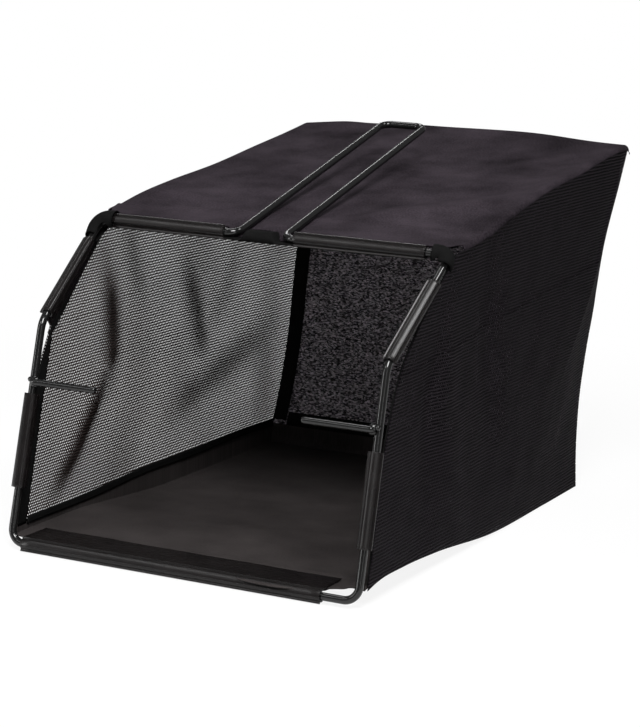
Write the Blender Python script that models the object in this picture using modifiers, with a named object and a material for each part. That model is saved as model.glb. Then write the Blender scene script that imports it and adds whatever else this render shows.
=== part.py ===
"""Grass collection bag for a lawn machine.

A ring of bent steel wire holds the mouth open. Its top bar runs on into a long U handle over the bag.
Seven snap-on plastic clips hook the bag to the wire, and two welded pegs hang it on the machine.
Lengths are in metres, +Z is up and +Y runs from the mouth to the back of the bag. Sizes are first worked
out from the middle of the bottom bar, and an empty then moves the bag over the middle of its own base.
"""

import functools
import math

import bmesh
import bpy
from mathutils import Matrix, Vector

# Wire ring: widths between centre lines, and places measured from the bottom bar's centre line
WIRE_DIAMETER = 0.006
BOTTOM_WIDTH = 0.290
KINK_WIDTH = 0.287
TOP_WIDTH = 0.297
KINK_BACK = 0.0375
KINK_UP = 0.1635
TOP_BACK = 0.1296
TOP_UP = 0.2309
BOTTOM_BEND = 0.011
KINK_BEND = 0.018
TOP_BEND = 0.011

# Carrying handle: two legs and a cross bar, a little left of the middle
HANDLE_WIDTH = 0.0392
HANDLE_SHIFT = -0.0087
HANDLE_LENGTH = 0.2584
HANDLE_RISE = 0.0655
HANDLE_BEND = 0.009
LEG_STUB = 0.001

# Hanging pegs, welded to the front of the side wires
PEG_DIAMETER = 0.0052
PEG_LENGTH = 0.056
PEG_HEIGHT = 0.1185
PEG_END_INSET = 0.002
PEG_CHAMFER = 0.0006
WELD_SIZE = 0.0034

# Snap-on clips: a C channel round the wire and a flat flange that is sewn to the fabric
CLIP_WALL = 0.0020
CLIP_FIT = 0.0003
CLIP_SLOT_ANGLE = math.radians(-30)
FLANGE_THICKNESS = 0.0012
FLANGE_WIDTH = 0.014
BOTTOM_FLANGE_WIDTH = 0.026

# Where the clips start and end: from the middle of the bars, and up from the lower end of each side stretch
TOP_LEFT_CLIP = (-0.1370, -0.0385)
TOP_RIGHT_CLIP = (0.0213, 0.1296)
BOTTOM_CLIP = (-0.1340, 0.1170)
LEFT_LOWER_CLIP = (0.0413, 0.1127)
LEFT_UPPER_CLIP = (0.0086, 0.0891)
RIGHT_LOWER_CLIP = (0.0372, 0.1063)
RIGHT_UPPER_CLIP = (0.0069, 0.0839)

# Bag: how far the seams reach behind the bottom bar and above the ground, then its hems and tapes. The hem's
# shares count along the side panel's front edge, and the tapes' up the back panel.
BAG_BACK_BOTTOM = 0.427
BAG_BACK_TOP = 0.4925
BAG_TOP_BACK_HEIGHT = 0.2905
BACK_BOTTOM_WIDTH = 0.294
BACK_TOP_WIDTH = 0.312
BACK_WAIST = 0.005
BACK_FLARE_POWER = 3
FLOOR_SEAM_HEIGHT = 0.017
FLOOR_CURL = 0.014
FLOOR_RAISED_TO = 0.080
FLOOR_FLAT_FROM = 0.235
TOP_SEAM_BOW = 0.003
SIDE_BULGE = 0.005
BACK_BULGE = 0.006
FABRIC_THICKNESS = 0.0010
EDGE_BEHIND_WIRE = 0.0065
HEM_WIDTH = 0.0135
HEM_END_SHARES = (0.02, 0.97)
SIDE_FLAT_TO = 0.020
SIDE_LOOSE_FROM = 0.060
SEAM_BLEND_POWER = 4
TAPE_WIDTH = 0.012
TAPE_THICKNESS = 0.0008
TAPE_END_SHARE = 0.07
TAPE_LOW_SHARE = 0.004
TAPE_HIGH_SHARE = 0.055
TOP_TAPE_STOP = 0.024
DIP_EDGE = 0.0064
PLAIN_COLUMNS = 5
BEND_STEPS = 5
SIDE_COLUMNS = 14
SIDE_ROWS = 16
FLOOR_CROWDING = 1.8

# Clearances: between parts that touch, at cloth edges, behind hems and under the handle
GAP = 0.0003
SEAM_GAP = 0.0005
HEM_GAP = 0.0007
TOP_HEM_GAP = 0.0011
HANDLE_CLEARANCE = 0.0005

# How far the mouth edge of the side fabric stands behind the wire, at the corners and at the kink. The places
# count 0 to 1 up the upright and from 1 on up the slope above the kink.
KINK_GAP = 0.0170
CORNER_GAP = 0.0090
HALF_KINK_GAP = (KINK_GAP + EDGE_BEHIND_WIRE) / 2
MOUTH_EDGE_SHARES = (0.075, 0.240, 0.660, 0.860, 1.000, 1.150, 1.350)
MOUTH_EDGE_GAPS = (
    CORNER_GAP,
    EDGE_BEHIND_WIRE,
    EDGE_BEHIND_WIRE,
    HALF_KINK_GAP,
    KINK_GAP,
    HALF_KINK_GAP,
    EDGE_BEHIND_WIRE,
)

# Folds as lines on a side panel, in shares of its depth and height: start, end and width. Then their depths
# inwards.
LEFT_FOLD_SHARES = (
    ((0.10, 1.00), (0.28, 0.33), 0.045),
    ((0.28, 0.33), (0.10, 0.03), 0.040),
    ((0.46, 0.85), (0.64, 0.28), 0.060),
    ((0.93, 0.38), (0.50, 0.17), 0.055),
)
LEFT_FOLD_DEPTHS = (0.0045, 0.0045, 0.0025, 0.0030)
RIGHT_FOLD_SHARES = (
    ((0.92, 0.65), (0.70, 0.07), 0.050),
    ((0.35, 0.95), (0.20, 0.15), 0.060),
)
RIGHT_FOLD_DEPTHS = (-0.0030, 0.0025)

WIRE_RADIUS = WIRE_DIAMETER / 2
CLIP_INNER_RADIUS = WIRE_RADIUS + CLIP_FIT
CLIP_RADIUS = CLIP_INNER_RADIUS + CLIP_WALL
BAR_HEIGHT = CLIP_RADIUS
FABRIC_STANDOFF = CLIP_RADIUS - FLANGE_THICKNESS - GAP
TOP_SLOPE = math.atan2(
    BAG_TOP_BACK_HEIGHT - BAR_HEIGHT - TOP_UP - FABRIC_STANDOFF, BAG_BACK_TOP - TOP_BACK
)
BACK_LEAN = math.atan2(BAG_BACK_TOP - BAG_BACK_BOTTOM, BAG_TOP_BACK_HEIGHT - FLOOR_SEAM_HEIGHT)
MIDDLE_Y = (BAG_BACK_TOP - CLIP_RADIUS) / 2


def material(name, colour, roughness):
    made = bpy.data.materials.new(name)
    made.use_nodes = True
    shader = made.node_tree.nodes["Principled BSDF"]
    shader.inputs["Base Color"].default_value = (*colour, 1.0)
    shader.inputs["Roughness"].default_value = roughness
    return made


def put(obj, collection, parent, made_of):
    """Files a new object in a collection, under a parent, with one material."""
    for old in list(obj.users_collection):
        old.objects.unlink(obj)
    collection.objects.link(obj)
    obj.parent = parent
    obj.data.materials.clear()
    obj.data.materials.append(made_of)
    return obj


def mix(a, b, share):
    return a + (b - a) * share


def smooth_step(value, low, high):
    share = min(max((value - low) / (high - low), 0.0), 1.0)
    return share * share * (3 - 2 * share)


def rounded_corners(corners, bends, steps):
    """The points of each rounded corner of a closed path, in order, from its bend radius."""
    runs = []
    for i, corner in enumerate(corners):
        back = (corners[i - 1] - corner).normalized()
        ahead = (corners[(i + 1) % len(corners)] - corner).normalized()
        half = back.angle(ahead) / 2
        to_centre = (back + ahead).normalized()
        centre = corner + to_centre * (bends[i] / math.sin(half))
        sweep = math.pi - 2 * half
        across = (ahead - back).normalized()
        points = []
        for step in range(steps + 1):
            turn = sweep * (step / steps - 0.5)
            arm = -to_centre * math.cos(turn) + across * math.sin(turn)
            points.append(centre + arm * bends[i])
        runs.append(points)
    return runs


def tube(name, points, diameter):
    """A wire along points, eight sided and closed at both ends."""
    curve = bpy.data.curves.new(name, "CURVE")
    curve.dimensions = "3D"
    curve.bevel_depth = diameter / 2
    curve.bevel_resolution = 2
    curve.use_fill_caps = True
    spline = curve.splines.new("POLY")
    spline.points.add(len(points) - 1)
    for point, place in zip(spline.points, points):
        point.co = (*place, 1.0)
    return bpy.data.objects.new(name, curve)


def prism(name, outline, start, end, across):
    """A straight bar of constant outline. The outline's X axis lies along across."""
    along = (end - start).normalized()
    across = (across - along * across.dot(along)).normalized()
    curve = bpy.data.curves.new(name, "CURVE")
    curve.dimensions = "2D"
    curve.fill_mode = "BOTH"
    curve.extrude = (end - start).length / 2
    spline = curve.splines.new("POLY")
    spline.points.add(len(outline) - 1)
    for point, (x, y) in zip(spline.points, outline):
        point.co = (x, y, 0.0, 1.0)
    spline.use_cyclic_u = True
    obj = bpy.data.objects.new(name, curve)
    turn = Matrix((across, along.cross(across), along)).transposed()
    obj.matrix_world = Matrix.Translation((start + end) / 2) @ turn.to_4x4()
    return obj


def clip_outline(flange_width, flange_side):
    """C channel with a flange that leaves it on a tangent. flange_side is 1 or -1 along the outline's Y."""
    steps = 9
    first = math.pi / 2
    last = 2 * math.pi + CLIP_SLOT_ANGLE
    angles = [mix(first, last, i / steps) for i in range(steps + 1)]
    reach = CLIP_RADIUS + flange_width
    under_flange = CLIP_RADIUS - FLANGE_THICKNESS
    outline = [(reach, under_flange), (reach, CLIP_RADIUS)]
    outline += [(CLIP_RADIUS * math.cos(a), CLIP_RADIUS * math.sin(a)) for a in angles]
    outline += [(CLIP_INNER_RADIUS * math.cos(a), CLIP_INNER_RADIUS * math.sin(a)) for a in reversed(angles)]
    outline.append((CLIP_INNER_RADIUS / 2, under_flange))
    return [(x, y * flange_side) for x, y in outline]


def sheet(name, columns, rows, place, thickness, turned=False):
    """A sheet whose outer face is place(u, v) with u and v from 0 to 1, thickened inwards."""
    mesh = bpy.data.meshes.new(name)
    cells = bmesh.new()
    bmesh.ops.create_grid(cells, x_segments=columns, y_segments=rows, size=0.5)
    for vert in cells.verts:
        vert.co = place(vert.co.x + 0.5, vert.co.y + 0.5)
    if turned:
        bmesh.ops.reverse_faces(cells, faces=cells.faces)
    cells.to_mesh(mesh)
    cells.free()
    mesh.shade_smooth()
    obj = bpy.data.objects.new(name, mesh)
    wall = obj.modifiers.new("thickness", "SOLIDIFY")
    wall.thickness = thickness
    wall.offset = -1.0
    return obj


# Corners of the wire ring
def ring_corner(width, back, up, side):
    return Vector((side * width / 2, back, BAR_HEIGHT + up))


def upright(side, share):
    """A point on a side wire's centre line: share 0 to 1 up the upright, 1 to 2 up the slope."""
    bottom = ring_corner(BOTTOM_WIDTH, 0.0, 0.0, side)
    kink = ring_corner(KINK_WIDTH, KINK_BACK, KINK_UP, side)
    top = ring_corner(TOP_WIDTH, TOP_BACK, TOP_UP, side)
    if share <= 1.0:
        return bottom.lerp(kink, share)
    return kink.lerp(top, share - 1.0)


def into_bag(side, share):
    """Direction from a side wire straight back along the side fabric, square to the wire."""
    step = 0.001
    if share == 1.0:
        return (into_bag(side, 1.0 - step) + into_bag(side, 1.0 + step)).normalized()
    low = upright(side, math.floor(share))
    high = upright(side, math.floor(share) + 1.0)
    along = (high - low).normalized()
    return along.cross(Vector((side, 0, 0))).normalized() * side


def wire_frame():
    """The frame's one wire, split for collision at the ends of the handle's straight legs."""
    left, right = -1, 1
    legs_y = TOP_BACK + HANDLE_LENGTH
    legs_z = TOP_UP + HANDLE_RISE
    handle = [
        Vector((HANDLE_SHIFT + side * HANDLE_WIDTH / 2, y, BAR_HEIGHT + z))
        for side, y, z in (
            (right, TOP_BACK, TOP_UP),
            (right, legs_y, legs_z),
            (left, legs_y, legs_z),
            (left, TOP_BACK, TOP_UP),
        )
    ]
    right_side = [upright(right, 0.0), upright(right, 1.0), upright(right, 2.0)]
    left_side = [upright(left, 2.0), upright(left, 1.0), upright(left, 0.0)]
    side_bends = [BOTTOM_BEND, KINK_BEND, TOP_BEND]
    corners = handle + left_side + right_side
    bends = [HANDLE_BEND] * len(handle) + side_bends[::-1] + side_bends
    runs = rounded_corners(corners, bends, BEND_STEPS)
    right_root, right_back, left_back, left_root = runs[: len(handle)]
    right_front, right_leg, right_end = cut_leg(right_root[-1], right_back[0])
    left_end, left_leg, left_front = cut_leg(left_back[-1], left_root[0])
    ring = sum(runs[len(handle) :], [left_front] + left_root) + right_root + [right_front]
    cross_bar = [right_end] + right_back + left_back + [left_end]
    return [
        tube("wire_frame", ring, WIRE_DIAMETER),
        tube("handle_right_leg", right_leg, WIRE_DIAMETER),
        tube("handle_cross_bar", cross_bar, WIRE_DIAMETER),
        tube("handle_left_leg", left_leg, WIRE_DIAMETER),
    ]


def cut_leg(start, end):
    """The end of the stub at a leg's start, the leg between the stubs, and the end of the stub at its end."""
    stub = (end - start).normalized() * LEG_STUB
    clear = (end - start).normalized() * (LEG_STUB + GAP)
    return start + stub, [start + clear, end - clear], end - stub


def peg_share():
    return PEG_HEIGHT / KINK_UP


def peg(name, side, cutters, parent):
    """Straight peg across the front of the side wire, with a weld bead that hugs the wire."""
    on_wire = upright(side, peg_share())
    forward = -into_bag(side, peg_share())
    axis = on_wire + forward * (WIRE_RADIUS + GAP + PEG_DIAMETER / 2)
    outer = axis.x - side * PEG_END_INSET
    middle = Vector((outer - side * PEG_LENGTH / 2, axis.y, axis.z))
    bpy.ops.mesh.primitive_cylinder_add(vertices=12, radius=PEG_DIAMETER / 2, depth=PEG_LENGTH)
    made = bpy.context.object
    made.name = name
    made.data.shade_smooth()
    made.location = middle
    made.rotation_euler = (0, math.pi / 2, 0)
    chamfer = made.modifiers.new("end chamfer", "BEVEL")
    chamfer.width = PEG_CHAMFER
    chamfer.limit_method = "ANGLE"
    chamfer.angle_limit = math.radians(60)

    bpy.ops.mesh.primitive_uv_sphere_add(segments=12, ring_count=8, radius=WELD_SIZE)
    bead = bpy.context.object
    bead.name = name + "_bead"
    bead.location = on_wire + forward * (WIRE_RADIUS + GAP + WELD_SIZE / 2) - Vector((side * WELD_SIZE, 0, 0))
    low = upright(side, 0.0)
    high = upright(side, 1.0)
    bpy.ops.mesh.primitive_cylinder_add(vertices=24, radius=WIRE_RADIUS + GAP, depth=(high - low).length)
    clear = bpy.context.object
    clear.name = name + "_wire_clearance"
    clear.location = (low + high) / 2
    clear.rotation_euler = (high - low).to_track_quat("Z", "Y").to_euler()
    for operation, other in (("UNION", bead), ("DIFFERENCE", clear)):
        cut = made.modifiers.new(operation.lower(), "BOOLEAN")
        cut.operation = operation
        cut.object = other
        other.parent = parent
        other.hide_render = True
        other.display_type = "WIRE"
        for old in list(other.users_collection):
            old.objects.unlink(other)
        cutters.objects.link(other)
    return made


def clip_on(name, start, end, across, flange_width, outward):
    """Clip along a stretch of wire. across runs into the bag, outward is the side its flange lies on."""
    along = (end - start).normalized()
    flange_side = 1 if along.cross(across).dot(outward) > 0 else -1
    return prism(name, clip_outline(flange_width, flange_side), start, end, across)


def top_bar(x):
    return Vector((x, TOP_BACK, BAR_HEIGHT + TOP_UP))


def bottom_bar(x):
    return Vector((x, 0.0, BAR_HEIGHT))


def clips():
    """The seven clips, each on its own stretch of wire."""
    up = Vector((0, 0, 1))
    back = Vector((0, 1, 0))
    along_top = Vector((0, math.cos(TOP_SLOPE), math.sin(TOP_SLOPE)))
    made = []
    for name, bar, (first, last), across, width in (
        ("clip_top_left", top_bar, TOP_LEFT_CLIP, along_top, FLANGE_WIDTH),
        ("clip_top_right", top_bar, TOP_RIGHT_CLIP, along_top, FLANGE_WIDTH),
        ("clip_bottom", bottom_bar, BOTTOM_CLIP, back, BOTTOM_FLANGE_WIDTH),
    ):
        made.append(clip_on(name, bar(first), bar(last), across, width, up))
    for name, side, stretch, (first, last) in (
        ("clip_left_lower", -1, 0, LEFT_LOWER_CLIP),
        ("clip_left_upper", -1, 1, LEFT_UPPER_CLIP),
        ("clip_right_lower", 1, 0, RIGHT_LOWER_CLIP),
        ("clip_right_upper", 1, 1, RIGHT_UPPER_CLIP),
    ):
        low = upright(side, stretch)
        along = (upright(side, stretch + 1) - low).normalized()
        across = into_bag(side, stretch + 0.5)
        outward = Vector((side, 0, 0))
        made.append(clip_on(name, low + along * first, low + along * last, across, FLANGE_WIDTH, outward))
    return made


def top_corner_share():
    """How far up the slope's own line the side fabric's front edge meets the top seam."""
    run = TOP_BACK - KINK_BACK
    rise = TOP_UP - KINK_UP
    length = math.hypot(run, rise)
    y = KINK_BACK + EDGE_BEHIND_WIRE * rise / length
    z = KINK_UP - EDGE_BEHIND_WIRE * run / length
    seam = TOP_UP + (FABRIC_STANDOFF - FABRIC_THICKNESS - SEAM_GAP) / math.cos(TOP_SLOPE)
    climb = math.tan(TOP_SLOPE)
    return 1 + (seam - z + (y - TOP_BACK) * climb) / (rise - run * climb)


def mouth_edge(side, v):
    """The side fabric's front edge on its outer face, v 0 to 1 from the floor seam to the top seam."""
    share = mix(MOUTH_EDGE_SHARES[0], top_corner_share(), v)
    behind = EDGE_BEHIND_WIRE
    stations = list(zip(MOUTH_EDGE_SHARES, MOUTH_EDGE_GAPS))
    for (low, near), (high, far) in zip(stations, stations[1:]):
        if low <= share <= high:
            behind = mix(near, far, (share - low) / (high - low))
    on_wire = upright(side, share)
    return on_wire + into_bag(side, share) * behind + Vector((side * FABRIC_STANDOFF, 0, 0))


def top_height(y):
    """Height of the top panel's outer face where nothing presses it down."""
    share = (y - TOP_BACK) / (BAG_BACK_TOP - TOP_BACK)
    front = BAR_HEIGHT + TOP_UP + FABRIC_STANDOFF / math.cos(TOP_SLOPE)
    return front + (y - TOP_BACK) * math.tan(TOP_SLOPE) + TOP_SEAM_BOW * math.sin(math.pi * share) ** 2


def under_handle(y):
    """Height of the highest cloth that clears the handle's legs."""
    leg_slope = HANDLE_RISE / HANDLE_LENGTH
    leg = BAR_HEIGHT + TOP_UP + (y - TOP_BACK) * leg_slope
    return leg - (WIRE_RADIUS + HANDLE_CLEARANCE) * math.hypot(1.0, leg_slope)


def pressed_down(x, y):
    """How far the handle's legs hold the top panel down: fully under the legs, none beside the clips."""
    full = HANDLE_WIDTH / 2 + WIRE_RADIUS + HANDLE_CLEARANCE
    share = (full + DIP_EDGE - abs(x - HANDLE_SHIFT)) / DIP_EDGE
    return max(top_height(y) - under_handle(y), 0.0) * min(max(share, 0.0), 1.0)


def side_seam(v):
    """Depth and half width of the top seam, v 0 at the mouth and 1 at the back."""
    y = mix(TOP_BACK + EDGE_BEHIND_WIRE, BAG_BACK_TOP, v)
    return y, mix(TOP_WIDTH / 2 + FABRIC_STANDOFF, BACK_TOP_WIDTH / 2, v)


def top_face(u, v):
    """Outer face of the top panel, u across from left to right and v from the mouth to the back."""
    y, half = side_seam(v)
    full = HANDLE_WIDTH / 2 + WIRE_RADIUS + HANDLE_CLEARANCE
    dip_columns = [HANDLE_SHIFT + at for at in (-full - DIP_EDGE, -full, 0.0, full, full + DIP_EDGE)]
    plain = [mix(-half, dip_columns[0], i / PLAIN_COLUMNS) for i in range(PLAIN_COLUMNS)]
    rest = [mix(dip_columns[-1], half, (i + 1) / PLAIN_COLUMNS) for i in range(PLAIN_COLUMNS)]
    columns = plain + dip_columns + rest
    place = u * (len(columns) - 1)
    index = min(int(place), len(columns) - 2)
    x = mix(columns[index], columns[index + 1], place - index)
    return Vector((x, y, top_height(y) - pressed_down(x, y)))


def back_place(side, v):
    """Point on the back seam at either side, on the outer faces, v 0 at the floor seam and 1 at the top."""
    waist = BACK_WAIST * math.sin(math.pi * v)
    half = mix(BACK_BOTTOM_WIDTH, BACK_TOP_WIDTH, v**BACK_FLARE_POWER) / 2 - waist
    top = top_height(BAG_BACK_TOP) - (FABRIC_THICKNESS + SEAM_GAP) / math.cos(TOP_SLOPE)
    y = mix(BAG_BACK_BOTTOM, BAG_BACK_TOP, v)
    return Vector((side * half, y, mix(FLOOR_SEAM_HEIGHT + GAP, top, v)))


def back_face(u, v):
    """Outer face of the back panel, u across from left to right and v up from the floor seam."""
    place = back_place(-1, v).lerp(back_place(1, v), u)
    place.y += BACK_BULGE * math.sin(math.pi * u) * math.sin(math.pi * v)
    return place


def fold_depth(u, v, folds, depths):
    """Inward depth of the folds at a place on a side panel, from its distance to each fold's line."""
    total = 0.0
    for (start, end, width), depth in zip(folds, depths):
        line = Vector(end) - Vector(start)
        place = Vector((u, v)) - Vector(start)
        share = min(max(place.dot(line) / line.length_squared, 0.0), 1.0)
        away = (place - line * share).length / width
        total += depth * math.exp(-away * away)
    return total * math.sqrt(math.sin(math.pi * v))


def beside_wire(side, place):
    """Distance out of the side wire where a line square to the wire meets a place behind it."""
    bottom = upright(side, 0.0)
    kink = upright(side, 1.0)
    top = upright(side, 2.0)
    up = Vector((kink.y - bottom.y, kink.z - bottom.z))
    slope = Vector((top.y - kink.y, top.z - kink.z))
    behind = Vector((place.y - kink.y, place.z - kink.z))
    below_kink = min(max(behind.dot(up) / up.length_squared, -1.0), 0.0)
    above_kink = min(max(behind.dot(slope) / slope.length_squared, 0.0), 1.0)
    return kink.x + above_kink * (top.x - kink.x) + below_kink * (kink.x - bottom.x)


def side_face(side, u, v):
    """Outer face of a side panel, u from the mouth to the back and v up from the floor seam."""
    front = mouth_edge(side, v)
    low = mouth_edge(side, 0.0).z
    height = (front.z - low) / (mouth_edge(side, 1.0).z - low)
    back = back_place(side, height)
    back.y -= (FABRIC_THICKNESS + SEAM_GAP) / math.cos(BACK_LEAN)
    place = front.lerp(back, u)
    flat = SIDE_FLAT_TO / BAG_BACK_BOTTOM
    near_wire = beside_wire(side, front.lerp(back, min(u, flat))) + side * FABRIC_STANDOFF
    place.x = mix(near_wire, back.x, max(u - flat, 0.0) / (1 - flat))
    height = min(max(height, 0.0), 1.0)
    puff = SIDE_BULGE * math.sin(math.pi * u) * math.sin(math.pi * height)
    folds = (LEFT_FOLD_SHARES, LEFT_FOLD_DEPTHS) if side < 0 else (RIGHT_FOLD_SHARES, RIGHT_FOLD_DEPTHS)
    loose = smooth_step(u * BAG_BACK_BOTTOM, SIDE_FLAT_TO, SIDE_LOOSE_FROM)
    place.x += side * loose * (puff - fold_depth(u, height, *folds))
    floor_line = FLOOR_SEAM_HEIGHT + GAP
    top_line = top_height(place.y) - (FABRIC_THICKNESS + SEAM_GAP) / math.cos(TOP_SLOPE)
    plain_low = mix(low, back_place(side, 0.0).z, u)
    plain_high = mix(mouth_edge(side, 1.0).z, back_place(side, 1.0).z, u)
    place.z += (floor_line - plain_low) * (1 - v) ** SEAM_BLEND_POWER
    place.z += (top_line - plain_high) * v**SEAM_BLEND_POWER
    return place


def floor_face(u, v):
    """Underside of the floor: flat on the ground, raised at the mouth, curled up to its seams."""
    y = mix(EDGE_BEHIND_WIRE, BAG_BACK_BOTTOM, v)
    half = mix(BOTTOM_WIDTH / 2 + FABRIC_STANDOFF, BACK_BOTTOM_WIDTH / 2, v)
    x = curled_share(u) * half
    raised = BAR_HEIGHT + FABRIC_STANDOFF - FABRIC_THICKNESS
    level = raised * (1 - smooth_step(y, FLOOR_RAISED_TO, FLOOR_FLAT_FROM))
    near_side = max(0.0, 1 - (half - abs(x)) / FLOOR_CURL)
    near_back = max(0.0, 1 - (BAG_BACK_BOTTOM - y) / FLOOR_CURL)
    inside = min(1.0, math.hypot(near_side, near_back))
    curl = 1 - math.sqrt(1 - inside * inside)
    return Vector((x, y, mix(level, FLOOR_SEAM_HEIGHT - FABRIC_THICKNESS, curl)))


def curled_share(u):
    """Spreads the floor's columns so that they crowd where it curls up. It runs from -1 to 1."""
    across = 2 * u - 1
    return math.copysign(1 - (1 - abs(across)) ** FLOOR_CROWDING, across)


def side_hem(side, u, v):
    """Outer face of the doubled edge inside a side panel."""
    share = HEM_WIDTH / (BAG_BACK_TOP - TOP_BACK)
    place = side_face(side, u * share, mix(*HEM_END_SHARES, v))
    place.x -= side * (FABRIC_THICKNESS + HEM_GAP)
    return place


def top_hem(u, v):
    """Outer face of the doubled edge under the top panel, clear of the side hems."""
    place = top_face(u, v * HEM_WIDTH / (BAG_BACK_TOP - TOP_BACK))
    half = side_seam(0.0)[1] - 2 * (FABRIC_THICKNESS + HEM_GAP)
    place.x = min(max(place.x, -half), half)
    place.z -= FABRIC_THICKNESS + TOP_HEM_GAP
    return place


def bottom_hem(u, v):
    """Lower face of the doubled edge under the front of the floor, between its curled sides."""
    half = BOTTOM_WIDTH / 2 + FABRIC_STANDOFF - FLOOR_CURL
    y = EDGE_BEHIND_WIRE + v * HEM_WIDTH
    z = BAR_HEIGHT + FABRIC_STANDOFF - 2 * FABRIC_THICKNESS - GAP
    return Vector(((2 * u - 1) * half, y, z))


def back_tape(side, u, v):
    """Tape on the back panel's inner face, beside an upright seam."""
    height = mix(TAPE_END_SHARE, 1 - TAPE_END_SHARE, v)
    inner = FABRIC_THICKNESS + 2 * SEAM_GAP + mix(0.0, TAPE_WIDTH, u)
    share = inner / (2 * back_place(1, height).x)
    return on_back(share if side < 0 else 1 - share, height)


def on_back(u, v):
    """A point of the back panel moved onto its inner face."""
    inwards = FABRIC_THICKNESS + GAP
    return back_face(u, v) - Vector((0, math.cos(BACK_LEAN), -math.sin(BACK_LEAN))) * inwards


def level_back_tape(low, u, v):
    """Tape across the back panel's inner face. low is the share of its height where the tape starts."""
    rise = BAG_TOP_BACK_HEIGHT - FLOOR_SEAM_HEIGHT
    height = low + v * TAPE_WIDTH / rise
    inset = (FABRIC_THICKNESS + 2 * SEAM_GAP) / BACK_BOTTOM_WIDTH
    return on_back(mix(inset, 1 - inset, u), height)


def top_tape(side, u, v):
    """Tape under the top panel, beside a top seam."""
    depth = BAG_BACK_TOP - TOP_BACK
    beside = side_face(side, mix((HEM_WIDTH + SEAM_GAP) / depth, 1 - TOP_TAPE_STOP / depth, v), 1.0)
    x = beside.x - side * (FABRIC_THICKNESS + 2 * SEAM_GAP + TAPE_WIDTH * u)
    z = top_height(beside.y) - (FABRIC_THICKNESS + GAP) / math.cos(TOP_SLOPE)
    return Vector((x, beside.y, z))


def floor_tape(side, u, v):
    """Tape inside a side panel, just above its floor seam, from its second column to its last but one."""
    u = mix(1, SIDE_COLUMNS - 1, u) / SIDE_COLUMNS
    place = side_face(side, u, 0.0)
    above = side_face(side, u, 1 / SIDE_ROWS)
    place = place.lerp(above, v * TAPE_WIDTH / (above.z - place.z))
    place.x -= side * (FABRIC_THICKNESS + HEM_GAP)
    return place


def fabric():
    """Name, grid, outer face, thickness and facing of each cloth piece, with the name of its cloth."""
    cloth = FABRIC_THICKNESS
    tape = TAPE_THICKNESS
    top_columns = 2 * PLAIN_COLUMNS + 4
    pieces = [
        ("top_panel", top_columns, 14, top_face, cloth, False, "smooth_dark_cloth"),
        ("back_panel", 8, 10, back_face, cloth, True, "coarse_dark_cloth"),
        ("floor_panel", 16, 18, floor_face, cloth, True, "coated_floor_cloth"),
        ("top_hem", top_columns, 2, top_hem, cloth, False, "binding_tape"),
        ("bottom_hem", 4, 2, bottom_hem, cloth, True, "binding_tape"),
    ]
    levels = (("bottom", TAPE_LOW_SHARE), ("top", 1 - TAPE_HIGH_SHARE))
    for level, low in levels:
        place = functools.partial(level_back_tape, low)
        pieces.append((f"back_{level}_seam_tape", 8, 2, place, tape, True, "binding_tape"))
    for hand, side in (("left", -1), ("right", 1)):
        left = side < 0
        for name, columns, rows, face, thickness, turned, made_of in (
            (f"{hand}_mesh_panel", SIDE_COLUMNS, SIDE_ROWS, side_face, cloth, left, "black_mesh_cloth"),
            (f"{hand}_hem", 2, SIDE_ROWS, side_hem, cloth, left, "binding_tape"),
            (f"back_{hand}_seam_tape", 2, 10, back_tape, tape, left, "binding_tape"),
            (f"top_{hand}_seam_tape", 2, 12, top_tape, tape, not left, "binding_tape"),
            (f"floor_{hand}_seam_tape", SIDE_COLUMNS - 2, 2, floor_tape, tape, left, "binding_tape"),
        ):
            place = functools.partial(face, side)
            pieces.append((name, columns, rows, place, thickness, turned, made_of))
    return pieces


def build():
    for obj in list(bpy.data.objects):
        bpy.data.objects.remove(obj, do_unlink=True)
    bag = bpy.data.collections.new("grass_collection_bag")
    cutters = bpy.data.collections.new("cutters")
    bpy.context.scene.collection.children.link(bag)
    bpy.context.scene.collection.children.link(cutters)
    middle = bpy.data.objects.new("middle_of_the_base", None)
    middle.location = (0.0, -MIDDLE_Y, 0.0)
    bag.objects.link(middle)

    steel = material("black_enamelled_steel", (0.012, 0.012, 0.013), 0.22)
    clip_plastic = material("glossy_clip_plastic", (0.016, 0.016, 0.018), 0.35)
    cloths = {
        name: material(name, colour, roughness)
        for name, colour, roughness in (
            ("smooth_dark_cloth", (0.030, 0.027, 0.030), 0.80),
            ("black_mesh_cloth", (0.020, 0.020, 0.020), 0.85),
            ("coarse_dark_cloth", (0.035, 0.034, 0.036), 0.90),
            ("coated_floor_cloth", (0.022, 0.020, 0.020), 0.70),
            ("binding_tape", (0.010, 0.010, 0.010), 0.85),
        )
    }
    for made in wire_frame():
        put(made, bag, middle, steel)
    put(peg("peg_left", -1, cutters, middle), bag, middle, steel)
    put(peg("peg_right", 1, cutters, middle), bag, middle, steel)
    for made in clips():
        put(made, bag, middle, clip_plastic)
    for name, columns, rows, place, thickness, turned, made_of in fabric():
        made = sheet(name, columns, rows, place, thickness, turned)
        put(made, bag, middle, cloths[made_of])


build()
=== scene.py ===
import math

import bpy
import numpy as np
from bpy.props import FloatProperty, FloatVectorProperty, PointerProperty
from mathutils import Matrix, Vector


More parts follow.
